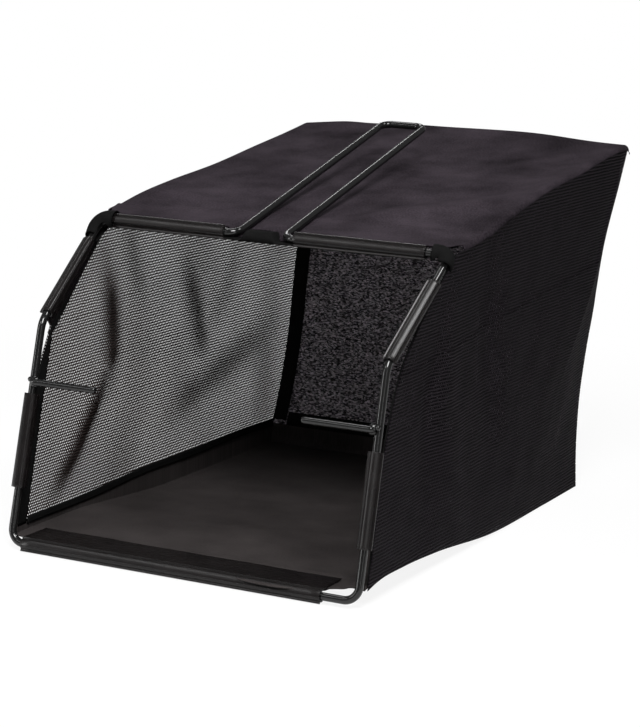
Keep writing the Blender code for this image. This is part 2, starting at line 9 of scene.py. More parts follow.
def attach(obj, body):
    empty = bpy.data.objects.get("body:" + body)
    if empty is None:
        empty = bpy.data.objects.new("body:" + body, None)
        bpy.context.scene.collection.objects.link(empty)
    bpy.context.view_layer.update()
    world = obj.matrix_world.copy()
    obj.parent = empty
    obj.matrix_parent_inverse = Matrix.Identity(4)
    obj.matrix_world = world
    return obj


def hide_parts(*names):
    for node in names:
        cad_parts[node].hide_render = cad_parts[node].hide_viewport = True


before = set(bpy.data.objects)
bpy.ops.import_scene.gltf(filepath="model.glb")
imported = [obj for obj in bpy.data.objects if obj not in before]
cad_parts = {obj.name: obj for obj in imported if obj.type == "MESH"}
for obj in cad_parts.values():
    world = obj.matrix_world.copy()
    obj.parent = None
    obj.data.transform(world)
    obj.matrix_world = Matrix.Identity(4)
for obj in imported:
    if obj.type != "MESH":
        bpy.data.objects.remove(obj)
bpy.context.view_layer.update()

bl_info = {
    "name": "Grass collection bag",
    "version": (1, 0, 0),
    "blender": (4, 5, 0),
    "location": "View3D > Sidebar > Grass bag",
    "description": "Builds a soft grass catcher with a bent wire mouth, plastic clips and mesh sides",
    "category": "Add Mesh",
}

# Places are worked out in metres from the middle of the bottom bar, as in the part's source, and moved at the end
MIDDLE_Y = 0.2436
BAR = 0.0053
HALF_BOTTOM, HALF_KINK, HALF_TOP = 0.145, 0.1435, 0.1485
HALF_BACK_TOP, HALF_BACK_LOW = 0.156, 0.1462
KINK_BACK, KINK_UP = 0.0375, 0.1635
TOP_BACK, TOP_UP = 0.1296, 0.2309
BACK_BOTTOM, BACK_TOP, BACK_TOP_Z = 0.427, 0.4925, 0.2905
HANDLE_X, HANDLE_WIDTH, HANDLE_LENGTH, HANDLE_RISE = -0.0087, 0.0392, 0.2584, 0.0655
STANDOFF = 0.0038
SEAM_Z = 0.017
TOP_CLIMB = (BACK_TOP_Z - BAR - TOP_UP - STANDOFF) / (BACK_TOP - TOP_BACK)
BACK_RIM = BACK_TOP_Z - 0.0015
UPRIGHT, SLOPE = math.hypot(KINK_BACK, KINK_UP), math.hypot(TOP_BACK - KINK_BACK, TOP_UP - KINK_UP)


# Numbers and curves
def mix(a, b, share):
    return a + (b - a) * share


def smooth(value, low, high):
    """0 below low and 1 above high, with an S curve of three t squared less two t cubed between them."""
    t = np.clip((np.asarray(value, float) - low) / (high - low), 0.0, 1.0)
    return t * t * (3.0 - 2.0 * t)


def bump(value, middle, width):
    """A bell: e to the minus square of the distance from the middle in widths."""
    return np.exp(-(((np.asarray(value, float) - middle) / width) ** 2))


def eased(stations, heights, value):
    """A smooth curve through stations: a cubic in each interval whose end slopes are the stations' own gradients."""
    xs = np.asarray(stations, float)
    ys = np.asarray(heights, float)
    slopes = np.gradient(ys, xs)
    x = np.clip(np.asarray(value, float), xs[0], xs[-1])
    i = np.clip(np.searchsorted(xs, x) - 1, 0, len(xs) - 2)
    span = xs[i + 1] - xs[i]
    t = (x - xs[i]) / span
    rise = (2 * t**3 - 3 * t**2 + 1) * ys[i] + (3 * t**2 - 2 * t**3) * ys[i + 1]
    return rise + span * ((t**3 - 2 * t**2 + t) * slopes[i] + (t**3 - t**2) * slopes[i + 1])


def ripple(a, b, seed):
    """Soft unevenness from minus one to one: six sine waves of two parameters with seeded directions and phases."""
    picks = np.random.default_rng(seed)
    total = np.zeros(np.broadcast(a, b).shape)
    for wave in range(6):
        turn, phase = picks.uniform(0, 2 * np.pi, 2)
        pitch = picks.uniform(0.6, 1.6)
        total += np.sin(pitch * (a * np.cos(turn) + b * np.sin(turn)) + phase)
    return total / 6


def beside_line(y, z, line):
    """Distance of each place to a broken line in the side plane, and the share of the line at its foot."""
    points = np.asarray(line, float)
    steps = np.hypot(*np.diff(points, axis=0).T)
    along = np.concatenate([[0.0], np.cumsum(steps)])
    best = np.full(np.shape(y), 1e9)
    share = np.zeros(np.shape(y))
    for k in range(len(steps)):
        dy, dz = points[k + 1] - points[k]
        t = np.clip(((y - points[k, 0]) * dy + (z - points[k, 1]) * dz) / steps[k] ** 2, 0, 1)
        away = np.hypot(y - points[k, 0] - t * dy, z - points[k, 1] - t * dz)
        near = away < best
        best = np.where(near, away, best)
        share = np.where(near, (along[k] + t * steps[k]) / along[-1], share)
    return best, share


# Making meshes
def grid(across, along):
    """Two parameters on a grid, each given by its first value, its last value and its number of stations."""
    return np.meshgrid(np.linspace(*across), np.linspace(*along))


def new_piece(name, vertices, faces, smooth_faces=True):
    mesh = bpy.data.meshes.new(name)
    mesh.from_pydata(np.asarray(vertices, float).tolist(), [], [list(map(int, f)) for f in faces])
    mesh.validate()
    if smooth_faces:
        mesh.shade_smooth()
    obj = bpy.data.objects.new(name, mesh)
    bpy.context.scene.collection.objects.link(obj)
    return obj


def grid_faces(rows, columns, start=0, wrap=False):
    """Quads of a grid in row order, as a whole array. wrap joins the last column to the first."""
    r = np.arange(rows - 1)[:, None]
    c = np.arange(columns if wrap else columns - 1)[None, :]
    n = (c + 1) % columns
    a = r * columns + c
    b = r * columns + n
    return (np.stack([a, b, b + columns, a + columns], -1) + start).reshape(-1, 4)


def shifted(points):
    moved = np.array(points, float)
    moved[..., 1] -= MIDDLE_Y
    return moved


def set_uv(obj, values):
    """Stores a place on the cloth, in metres, for every vertex as the piece's own UV map."""
    layer = obj.data.uv_layers.new(name="cloth")
    index = np.empty(len(obj.data.loops), int)
    obj.data.loops.foreach_get("vertex_index", index)
    layer.data.foreach_set("uv", np.asarray(values, np.float32).reshape(-1, 2)[index].ravel())


def set_value(obj, name, values):
    held = obj.data.attributes.new(name, "FLOAT", "POINT")
    held.data.foreach_set("value", np.asarray(values, np.float32).ravel())


def cloth(name, points, cells, thickness, material, flip=False, inside=None):
    """A sheet from a rows by columns grid of places on its outer face, thickened inwards. inside is the finish of its
    inner face where that is another one."""
    rows, columns = points.shape[:2]
    faces = grid_faces(rows, columns)
    if flip:
        faces = faces[:, ::-1]
    obj = new_piece(name, shifted(points).reshape(-1, 3), faces)
    set_uv(obj, cells)
    wall = obj.modifiers.new("thickness", "SOLIDIFY")
    wall.thickness = thickness
    wall.offset = -1.0
    obj.data.materials.append(material)
    if inside:
        obj.data.materials.append(inside)
        wall.material_offset = 1
    return obj


def stand_for(obj, slot, *nodes):
    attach(obj, "root")
    if nodes:
        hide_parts(*nodes)
    return obj


def carried_frames(path, closed):
    """Tangents and a pair of cross directions at each point of a path. The first pair is turned along the path by
    the least rotation, and a closed path spreads its leftover twist evenly."""
    ahead = np.roll(path, -1, 0) - np.roll(path, 1, 0)
    if not closed:
        ahead[0] = path[1] - path[0]
        ahead[-1] = path[-1] - path[-2]
    tangent = ahead / np.linalg.norm(ahead, axis=1)[:, None]
    start = np.cross(tangent[0], [0.0, 0.0, 1.0])
    if np.linalg.norm(start) < 0.1:
        start = np.cross(tangent[0], [0.0, 1.0, 0.0])
    normals = [start / np.linalg.norm(start)]
    for i in range(1, len(path)):
        n = normals[-1] - tangent[i] * normals[-1].dot(tangent[i])
        normals.append(n / np.linalg.norm(n))
    normal = np.array(normals)
    if closed:
        last = normal[-1] - tangent[0] * normal[-1].dot(tangent[0])
        last /= np.linalg.norm(last)
        twist = math.atan2(np.cross(last, normal[0]).dot(tangent[0]), last.dot(normal[0]))
        turn = (np.arange(len(path)) / len(path) * twist)[:, None]
        normal = normal * np.cos(turn) + np.cross(tangent, normal) * np.sin(turn)
    return tangent, normal, np.cross(tangent, normal)


def tube_mesh(path, radius, sides, closed):
    """Round tube: each ring is the path's point plus the radius times cosine and sine along two cross directions."""
    path = np.asarray(path, float)
    _, one, two = carried_frames(path, closed)
    angle = np.arange(sides) / sides * 2 * np.pi
    radius = np.broadcast_to(radius, len(path))[:, None, None]
    rings = path[:, None] + radius * (
        one[:, None] * np.cos(angle)[None, :, None] + two[:, None] * np.sin(angle)[None, :, None]
    )
    faces = grid_faces(len(path), sides, wrap=True)
    if closed:
        last = np.stack([np.arange(sides), (np.arange(sides) + 1) % sides], 1)
        base = (len(path) - 1) * sides
        closing = np.stack([base + last[:, 0], base + last[:, 1], last[:, 1], last[:, 0]], 1)
        faces = np.concatenate([faces, closing])
        return rings.reshape(-1, 3), faces.tolist()
    caps = [list(range(sides))[::-1], [(len(path) - 1) * sides + k for k in range(sides)]]
    return rings.reshape(-1, 3), faces.tolist() + caps


def joined(parts):
    """Several lists of vertices and faces as one."""
    vertices, faces, start = [], [], 0
    for points, quads in parts:
        vertices.append(np.asarray(points, float))
        faces += [[k + start for k in f] for f in quads]
        start += len(points)
    return np.concatenate(vertices), faces


# The wire's line
def rounded_path(corners, bends, steps):
    """Closed path with arcs at its corners: each arc is its centre plus the bend radius times cosine and sine."""
    points = []
    for i, corner in enumerate(corners):
        back = corners[i - 1] - corner
        ahead = corners[(i + 1) % len(corners)] - corner
        back /= np.linalg.norm(back)
        ahead /= np.linalg.norm(ahead)
        half = math.acos(float(np.clip(back.dot(ahead), -1, 1))) / 2
        inward = (back + ahead) / np.linalg.norm(back + ahead)
        across = (ahead - back) / np.linalg.norm(ahead - back)
        centre = corner + inward * (bends[i] / math.sin(half))
        turn = (math.pi - 2 * half) * (np.linspace(0, 1, steps + 1) - 0.5)[:, None]
        points.append(centre - inward * bends[i] * np.cos(turn) + across * bends[i] * np.sin(turn))
    return np.concatenate(points)


def filled(path, spacing):
    """The closed path with straight stretches filled at an even spacing."""
    ends = np.roll(path, -1, 0)
    pieces = []
    for a, b in zip(path, ends):
        count = max(1, int(np.linalg.norm(b - a) / spacing))
        pieces.append(a + (b - a) * (np.arange(count) / count)[:, None])
    return np.concatenate(pieces)


def ring_place(side, share):
    """A place on a side wire: share 0 to 1 up the upright and 1 to 2 up the slope."""
    x = side * np.interp(share, [0, 1, 2], [HALF_BOTTOM, HALF_KINK, HALF_TOP])
    y = np.interp(share, [0, 1, 2], [0, KINK_BACK, TOP_BACK])
    z = BAR + np.interp(share, [0, 1, 2], [0, KINK_UP, TOP_UP])
    return np.stack(np.broadcast_arrays(x, y, z), -1)


UP_LOW = np.array([KINK_BACK, KINK_UP]) / UPRIGHT
UP_HIGH = np.array([TOP_BACK - KINK_BACK, TOP_UP - KINK_UP]) / SLOPE


def into_bag(share):
    """Direction square to a side wire, back into the bag, turned smoothly at the kink."""
    high = smooth(share, 0.93, 1.07)[..., None]
    both = mix(np.array([UP_LOW[1], -UP_LOW[0]]), np.array([UP_HIGH[1], -UP_HIGH[0]]), high)
    return both / np.linalg.norm(both, axis=-1)[..., None]


# The bag's faces
# Most tables below hold stations, and then the curve's heights there. Shares run 0 to 1 up a side wire's upright and
# 1 to 2 up its slope.
MOUTH_SHARES = (0.075, 0.240, 0.660, 0.860, 1.000, 1.150, 1.350, 2.2)
MOUTH_GAPS = (0.0090, 0.0065, 0.0065, 0.01175, 0.0170, 0.01175, 0.0065, 0.0065)
TOP_SHARE = 2.03
LEFT_RIM = (
    (0.1296, 0.152, 0.187, 0.239, 0.317, 0.400, 0.457, 0.4925),
    (0, -0.0002, -0.0002, -0.002, -0.005, -0.005, -0.005, -0.004),
)
LEFT_OUT = ((0.1296, 0.16, 0.20, 0.25, 0.32, 0.4925), (0, 0.0015, 0.003, 0.003, 0.001, 0.0))
RIGHT_RIM = ((0.1296, 0.18, 0.24, 0.30, 0.38, 0.46, 0.4925), (0, -0.003, 0.0, 0.002, 0.001, 0.0015, -0.0008))
BACK_HALF = (
    (0.008, 0.025, 0.053, 0.089, 0.159, 0.204, 0.262, 0.291),
    (0.1466, 0.1448, 0.1428, 0.1418, 0.1446, 0.1462, 0.1530, 0.1560),
)
BACK_BOW = (
    (-0.160, -0.125, -0.090, -0.030, 0.055, 0.131, 0.160),
    (-0.0005, 0.0055, 0.0070, 0.0065, 0.0060, -0.0010, 0.0005),
)
BACK_LIFT = (
    (-0.160, -0.140, -0.115, -0.090, -0.030, 0.080, 0.120, 0.160),
    (0.0, 0.0020, 0.0035, 0.0024, 0.0024, 0.0030, 0.0012, 0.0),
)
RIGHT_EDGE = ((0.0, 0.024, 0.068, 0.125, 0.235, 0.36), (0.010, 0.0145, 0.0150, 0.0120, 0.0015, 0.0))
RIGHT_CUT = ((0.0, 0.74, 0.79, 0.86, 0.91, 0.97, 1.0), (0.0, 0.0, 0.0068, 0.0045, 0.0022, 0.0004, 0.0))
CREASE = ((-0.152, -0.122, -0.034, 0.049, 0.131, 0.152), (0.160, 0.165, 0.178, 0.184, 0.188, 0.189))
# Each fold of the left side: its line in depth and height, its width, its depth and how far it is gathered
LEFT_FOLDS = (
    (((0.140, 0.205), (0.146, 0.172), (0.149, 0.140), (0.146, 0.105)), 0.0115, 0.0010, 0.80),
    (((0.147, 0.125), (0.125, 0.094), (0.094, 0.057), (0.057, 0.023)), 0.0085, 0.0022, 0.85),
    (((0.262, 0.200), (0.285, 0.142), (0.296, 0.093)), 0.0120, 0.0010, 0.45),
    (((0.422, 0.117), (0.328, 0.088), (0.236, 0.061)), 0.0140, 0.0014, 0.38),
    (((0.178, 0.236), (0.183, 0.200), (0.196, 0.165)), 0.0110, 0.0005, 0.20),
    (((0.360, 0.215), (0.340, 0.160), (0.300, 0.120)), 0.0130, 0.0007, 0.15),
)
# Each wave across the right side: its depth, how it leans, its place and its width
RIGHT_WAVES = ((0.0026, 0.20, 0.165, 0.022), (-0.0028, -0.10, 0.095, 0.018))
# Each slanting fold of the top: its height, lean, place and width, where it fades in and where it fades out
TOP_FOLDS = ((0.0040, 0.7, 0.215, 0.022, 0.02, 0.07, -0.11), (-0.0020, 0.6, 0.262, 0.020, 0.04, 0.08, -0.12))
RIGHT_CREST = (
    (0.0, 0.036, 0.047, 0.062, 0.080, 0.103, 0.179, 0.27),
    (0.285, 0.300, 0.324, 0.346, 0.354, 0.370, 0.431, 0.470),
)


def back_bow(x):
    """How far the back seam bows out behind its two top corners."""
    return eased(*BACK_BOW, x)


def back_lift(x):
    """How far the back seam's top stands above a straight line between its corners."""
    return eased(*BACK_LIFT, x)


def top_height(x, y):
    """Outer face of the top panel. It climbs evenly to the back, and each side rim adds its own wander."""
    share = np.clip((y - TOP_BACK) / (BACK_TOP - TOP_BACK), 0, 1)
    plain = BAR + TOP_UP + STANDOFF + (y - TOP_BACK) * TOP_CLIMB + 0.003 * np.sin(np.pi * share) ** 2
    left = smooth(-x, 0.03, 0.150)
    right = smooth(x, 0.06, 0.150)
    return plain + left * eased(*LEFT_RIM, y) + right * eased(*RIGHT_RIM, y) + back_lift(x) * smooth(y, 0.40, 0.49)


def rim_half(side, y):
    """Half width of the bag at its top seam."""
    share = np.clip((y - TOP_BACK) / (BACK_TOP - TOP_BACK), 0, 1)
    half = mix(HALF_TOP + STANDOFF, HALF_BACK_TOP, share)
    if side < 0:
        half = half + eased(*LEFT_OUT, y)
    return half


def back_y(z):
    """Depth of the back seam at a height."""
    return mix(BACK_BOTTOM, BACK_TOP, np.clip((z - SEAM_Z) / (BACK_TOP_Z - SEAM_Z), 0, 1))


def beside_wire(y, z):
    """Distance out of the side wire where a line square to the wire meets a place behind it."""
    dy, dz = y - KINK_BACK, z - BAR - KINK_UP
    low = np.clip((dy * UP_LOW[0] + dz * UP_LOW[1]) / UPRIGHT, -1, 0)
    high = np.clip((dy * UP_HIGH[0] + dz * UP_HIGH[1]) / SLOPE, 0, 1)
    return HALF_KINK + high * (HALF_TOP - HALF_KINK) + low * (HALF_KINK - HALF_BOTTOM)


def right_edge(y):
    """Height of the bag's bottom edge on the right, which the wire lifts at the front."""
    return eased(*RIGHT_EDGE, y)


def side_floor_line(side, y):
    """Height of a side panel's lower edge. On the right it is the bag's own edge, on the left the floor's seam."""
    if side > 0:
        return right_edge(y) + 0.0004
    return SEAM_Z - 0.006 + 0.004 * smooth(y, 0.03, 0.25) + 0.0006 * np.sin(y * 40)


def mouth_start(side):
    """Share of the wire at which a side panel's front edge begins."""
    return 0.045 if side > 0 else MOUTH_SHARES[0]


def mouth_place(side, share):
    """Depth and height of the side cloth's front edge, which keeps a varying distance behind the wire."""
    behind = eased(MOUTH_SHARES, MOUTH_GAPS, share)
    if side > 0:
        behind = behind - 0.0025 * (1 - smooth(share, 0.06, 0.20))
    wire = ring_place(side, np.clip(share, 0, 2))
    beyond = np.clip(share - 2, 0, 1) * SLOPE
    square = into_bag(share)
    y = wire[..., 1] + square[..., 0] * behind + beyond * UP_HIGH[0]
    z = wire[..., 2] + square[..., 1] * behind + beyond * UP_HIGH[1]
    return y, z


def side_face(side, u, v):
    """Outer face of a side panel: straight lines from the mouth edge to the back seam, fitted to the seams below and
    above, with a crest or folds added sideways. It also gives how tightly the cloth is gathered."""
    y0, z0 = mouth_place(side, mix(mouth_start(side), TOP_SHARE, v))
    low, high = (float(mouth_place(side, share)[1]) for share in (mouth_start(side), TOP_SHARE))
    level = np.clip((z0 - low) / (high - low), 0, 1)
    z1 = mix(SEAM_Z, BACK_RIM, level)
    y1 = back_y(z1) - 0.0001
    y = mix(y0, y1, u)
    z = mix(z0, z1, u)
    floor = side_floor_line(side, y)
    ceiling = top_height(side * rim_half(side, y), y) - 0.0025
    z = z + (floor - mix(low, SEAM_Z, u)) * (1 - level) ** 4 + (ceiling - mix(high, BACK_RIM, u)) * level**4
    stiff = 0.047
    front = np.minimum(u, stiff)
    near = beside_wire(mix(y0, y1, front), mix(z0, z1, front)) + STANDOFF
    spread = np.clip((u - stiff) / (1 - stiff), 0, 1)
    x = mix(near, eased(*BACK_HALF, z1), spread)
    x = x + (rim_half(side, y) - mix(HALF_TOP + STANDOFF, HALF_BACK_TOP, u)) * level**5
    loose = smooth(u, 0.05, 0.16)
    edge = np.sin(np.pi * level) ** 0.5
    gather = np.zeros_like(x)
    if side > 0:
        crest = eased(*RIGHT_CREST, z)
        front = np.clip(y / crest, 0, 1)
        rear = np.clip((y1 - y) / np.maximum(y1 - crest, 0.02), 0, 1)
        tent = np.minimum(front * front, rear)
        tent = tent - 0.10 * bump(y, crest, 0.02)
        x = x + 0.0032 * (1 - level) ** 6 * u + 0.0095 * tent * edge * loose
        x = x - 0.0042 * bump(y + 0.22 * z, 0.245, 0.024) * edge * loose * smooth(z, 0.05, 0.12)
        for depth, lean, middle, width in RIGHT_WAVES:
            x = x + depth * bump(y + lean * z, middle, width) * edge * loose
        gather = 0.60 + 0.3 * bump(y, crest, 0.006) * smooth(z, 0.03, 0.06) * smooth(-z, -0.24, -0.18)
        gather = np.maximum(gather, 1 - smooth(z - right_edge(y), 0.0025, 0.0060))
    else:
        x = x + 0.0045 * np.sin(np.pi * np.clip(u, 0, 1)) * edge
        for line, width, depth, dark in LEFT_FOLDS:
            away, along = beside_line(y, z, line)
            fade = smooth(along, 0.0, 0.4) * smooth(-along, -1.0, -0.75)
            x = x - depth * bump(away, 0, width) * edge * loose * mix(0.3, 1.0, fade)
            gather = np.maximum(gather, dark * bump(away, 0, width) * mix(0.2, 1.0, fade))
        gather = gather + 0.08 + 0.30 * np.clip(ripple(y * 75, z * 24, 8), 0, 1)
    x = x + 0.0007 * ripple(y * 95, z * 95, 3 + side) * edge * loose
    return np.stack([side * x, y, z], -1), gather


def top_face(u, v):
    """Outer face of the top panel. Past each side rim and past the back rim the cloth turns down through a little
    more than a quarter circle of the roll's radius, and the front corners are rounded to follow the wire's bend."""
    roll, quarter = 0.0035, np.pi * 0.56
    side_end, back_end = 0.955, 0.97
    signed = 2 * u - 1
    inner = np.clip(np.abs(signed) / side_end, 0, 1)
    turn = np.clip((np.abs(signed) - side_end) / (1 - side_end), 0, 1) * quarter
    back_inner = np.clip(v / back_end, 0, 1)
    back_turn = np.clip((v - back_end) / (1 - back_end), 0, 1) * quarter
    rounding = 0.0145 * (1 - np.sqrt(1 - smooth(inner, 0.915, 1.0) ** 2 * 0.98))
    y = mix(TOP_BACK + 0.0045 + rounding, BACK_TOP + 0.0005 - roll, back_inner) + roll * np.sin(back_turn)
    bow = back_bow(signed * HALF_BACK_TOP) * smooth(v, 0.75, 1.0)
    half = np.where(signed < 0, rim_half(-1, y), rim_half(1, y)) + 0.0006
    x = np.sign(signed) * (inner * (half - roll) + roll * np.sin(turn))
    z = top_height(x, y) - roll * (1 - np.cos(turn)) - roll * (1 - np.cos(back_turn))
    inside = 1 - smooth(np.abs(x), 0.135, 0.150)
    back = smooth(-y, -BACK_TOP, -BACK_TOP + 0.04)
    span = np.clip((y - TOP_BACK) / (BACK_TOP - TOP_BACK), 0, 1)
    z = z - 0.0055 * np.sin(np.pi * span) * inside * bump(x, 0.03, 0.11)
    z = z + 0.0013 * ripple(x * 42, y * 30, 11) * smooth(y, TOP_BACK + 0.03, TOP_BACK + 0.09) * back
    crease = np.interp(x, *CREASE)
    z = z + 0.0010 * smooth(crease - y, -0.0030, 0.0010) * smooth(y, TOP_BACK + 0.004, TOP_BACK + 0.02)
    z = z + 0.0006 * bump(y, crease, 0.0016)
    for height, lean, middle, width, low, high, end in TOP_FOLDS:
        fold = bump(y - lean * (x - 0.06), middle, width)
        z = z + height * fold * smooth(x, low, high) * smooth(-x, -0.150, end)
    z = z + 0.0022 * bump(y + 0.5 * x, 0.150, 0.012) * smooth(-x, 0.04, 0.09) * inside
    beside = np.abs(x - HANDLE_X)
    z = z + 0.0012 * (1 - smooth(y, TOP_BACK + 0.004, TOP_BACK + 0.022)) * smooth(beside, 0.03, 0.045)
    leg = BAR + TOP_UP + (y - TOP_BACK) * HANDLE_RISE / HANDLE_LENGTH - 0.0037
    press = 1 - smooth(np.abs(beside - HANDLE_WIDTH / 2), 0.004, 0.0105)
    return np.stack([x, y + bow, z - np.maximum(z - leg, 0) * press], -1)


def back_face(u, v):
    """Outer face of the back panel, bowed outwards by the sine of both parameters."""
    z = mix(SEAM_Z, BACK_RIM, v)
    half = eased(*BACK_HALF, z)
    x = mix(-half, half, u)
    z = z + v**4 * (top_height(x, np.full_like(x, BACK_TOP)) - 0.0015 - BACK_TOP_Z)
    inner = np.sin(np.pi * u) * np.sin(np.pi * v)
    y = mix(BACK_BOTTOM, BACK_TOP, v) + (0.005 + 0.0012 * ripple(x * 40, z * 40, 5)) * inner + back_bow(x) * v**3
    return np.stack([x, y, z], -1)


def floor_face(u, v):
    """Underside of the floor. Across the bag it runs flat, turns up through a small quarter circle and climbs
    straight to the side seam. Its back edge turns up by a quarter ellipse. The floor lies flat behind, is raised to
    the bar in front and more along the right side, and its front corners are cut back."""
    signed = 2 * u - 1
    across = np.sign(signed) * (1 - (1 - np.abs(signed)) ** 1.5)
    side = np.where(signed > 0, 1, -1)
    cut_right = eased(*RIGHT_CUT, across)
    cut_left = 0.0035 * smooth(-across, 0.90, 0.96)
    first, last = 0.0065, BACK_BOTTOM - 0.0006
    y = mix(first + cut_right + cut_left, last, 1 - (1 - v) ** 1.6)
    corner = 0.012
    share = (np.clip(y, corner, None) - corner) / (BACK_BOTTOM - corner)
    half = mix(HALF_BOTTOM + STANDOFF - 0.0007, HALF_BACK_LOW, share)
    half = half - 0.0007 * (side > 0)
    bend, thickness = 0.0010, 0.001
    raised = (BAR + STANDOFF - thickness) * (1 - smooth(y, 0.08, 0.235))
    free = smooth(y, 0.030, 0.090)
    near = smooth(across, mix(0.79, 0.55, free), 0.93)
    raised = mix(raised, right_edge(y) + 0.0006, near)
    back_seam = SEAM_Z + 0.0015
    left_seam = mix(side_floor_line(-1, y) + 0.0015, back_seam, smooth(y, 0.38, 0.42))
    left_seam = left_seam + 0.0025 * (1 - smooth(y, 0.02, 0.06))
    right_seam = mix(right_edge(y) + 0.004, back_seam, smooth(y, 0.395, 0.42))
    seam = np.where(side > 0, right_seam, left_seam)
    upright = np.maximum(seam - raised - bend, 0.0005)
    flat_half = half - bend
    bent_half = flat_half + bend * np.pi / 2
    place = np.abs(across) * (bent_half + upright)
    turn = np.clip((place - flat_half) / bend, 0, np.pi / 2)
    climb = np.clip(place - bent_half, 0, None)
    x = side * (np.minimum(place, flat_half) + bend * np.sin(turn))
    up = bend * (1 - np.cos(turn)) + climb
    behind = np.clip(1 - (last - y) / 0.004, 0, 1)
    up = np.maximum(up, (seam - raised) * (1 - np.sqrt(1 - behind**2)))
    flat = 1 - np.clip(up / 0.003, 0, 1)
    z = raised + up + 0.0012 * bump(y, 0.036 + 0.04 * x, 0.0022) * flat
    z = z + 0.0010 * (ripple(x * 45, y * 32, 21) + 0.6) * flat * smooth(y, 0.02, 0.08) * (1 - smooth(y, 0.2, 0.25))
    return np.stack([x, y, z], -1)


# Materials
class Nodes:
    """One node tree and short ways to add to it. A value is a number, a tuple or another node's output."""

    def __init__(self, tree):
        self.tree = tree

    def feed(self, socket, value):
        if isinstance(value, bpy.types.NodeSocket):
            self.tree.links.new(value, socket)
        else:
            socket.default_value = value

    def add(self, kind, values=None, **settings):
        """A shader node with its settings, and then a value for each input that is named or numbered."""
        node = self.tree.nodes.new("ShaderNode" + kind)
        for key, value in settings.items():
            setattr(node, key, value)
        for key, value in (values or {}).items():
            self.feed(node.inputs[key], value)
        return node

    def math(self, operation, *inputs, clamp=False):
        return self.add("Math", dict(enumerate(inputs)), operation=operation, use_clamp=clamp).outputs[0]

    def scaled(self, colour, share):
        return self.add("VectorMath", {0: colour, "Scale": share}, operation="SCALE").outputs[0]

    def noise(self, place, scale, detail=2.0, roughness=0.5):
        values = {"Vector": place, "Scale": scale, "Detail": detail, "Roughness": roughness}
        return self.add("TexNoise", values).outputs[0]

    def split(self, vector):
        return self.add("SeparateXYZ", {0: vector}).outputs

    def sine(self, place, pitch):
        """Sine of a place with a full turn for each pitch."""
        return self.math("SINE", self.math("MULTIPLY", self.math("DIVIDE", place, pitch), 2 * math.pi))

    def half_up(self, value):
        """A value between minus one and one, moved to between zero and one."""
        return self.math("MULTIPLY_ADD", value, 0.5, 0.5)


def new_group(name, inputs, outputs):
    """A group with a place, inputs with their defaults and outputs: its nodes, its inputs and its outputs."""
    group = bpy.data.node_groups.new(name, "ShaderNodeTree")
    group.interface.new_socket("Place", in_out="INPUT", socket_type="NodeSocketVector")
    for label, default in inputs.items():
        kind = "NodeSocketColor" if isinstance(default, tuple) else "NodeSocketFloat"
        group.interface.new_socket(label, in_out="INPUT", socket_type=kind).default_value = default
    for label in outputs:
        kind = "NodeSocketColor" if label == "Colour" else "NodeSocketFloat"
        group.interface.new_socket(label, in_out="OUTPUT", socket_type=kind)
    return Nodes(group), group.nodes.new("NodeGroupInput").outputs, group.nodes.new("NodeGroupOutput").inputs


def weave_group():
    """Plain weave: the product of two sine waves, one along each thread direction."""
    nodes, given, made = new_group("plain weave", {"Pitch": 0.001}, ["Height"])
    x, y, _ = nodes.split(given["Place"])
    both = [nodes.sine(axis, given["Pitch"]) for axis in (x, y)]
    nodes.feed(made["Height"], nodes.half_up(nodes.math("MULTIPLY", *both)))
    return nodes.tree


def mottle_group():
    """Uneven tone: one, with a broad and a fine noise spread about it by the contrast, and never below a tenth."""
    inputs = {"Scale": 20.0, "Contrast": 0.2, "Colour": (0.5, 0.5, 0.5, 1)}
    nodes, given, made = new_group("cloth mottling", inputs, ["Tone", "Colour"])
    spread, lowest = 3.0, 0.1
    total = 1.0
    for detail, finer in ((4.0, 1.0), (3.0, 45.0)):
        noise = nodes.noise(given["Place"], nodes.math("MULTIPLY", given["Scale"], finer), detail, 0.6)
        centred = nodes.math("MULTIPLY", nodes.math("SUBTRACT", noise, 0.5), spread)
        total = nodes.math("ADD", nodes.math("MULTIPLY", centred, given["Contrast"]), total)
    tone = nodes.math("MAXIMUM", total, lowest)
    nodes.feed(made["Tone"], tone)
    nodes.feed(made["Colour"], nodes.scaled(given["Colour"], tone))
    return nodes.tree


def speckle_group():
    """Coarse looped cloth: small stretched cells, each with its own tone and a rounded height."""
    inputs = {"Size": 0.0016, "Dark": (0, 0, 0, 1), "Light": (1, 1, 1, 1)}
    nodes, given, made = new_group("coarse loops", inputs, ["Colour", "Height"])
    turned = nodes.add("Mapping", {"Vector": given["Place"], "Rotation": (0, 0, 0.35), "Scale": (0.45, 1.0, 1.0)})
    size = nodes.math("DIVIDE", 1.0, given["Size"])
    cells = nodes.add("TexVoronoi", {"Vector": turned.outputs[0], "Scale": size}).outputs
    tone = nodes.math("POWER", nodes.split(cells["Color"])[0], 2.2)
    blend = nodes.add("Mix", {0: tone, 6: given["Dark"], 7: given["Light"]}, data_type="RGBA")
    height = nodes.math("SUBTRACT", 1.0, cells["Distance"])
    nodes.feed(made["Colour"], blend.outputs[2])
    nodes.feed(made["Height"], nodes.math("MULTIPLY", height, nodes.math("ADD", tone, 0.4)))
    return nodes.tree


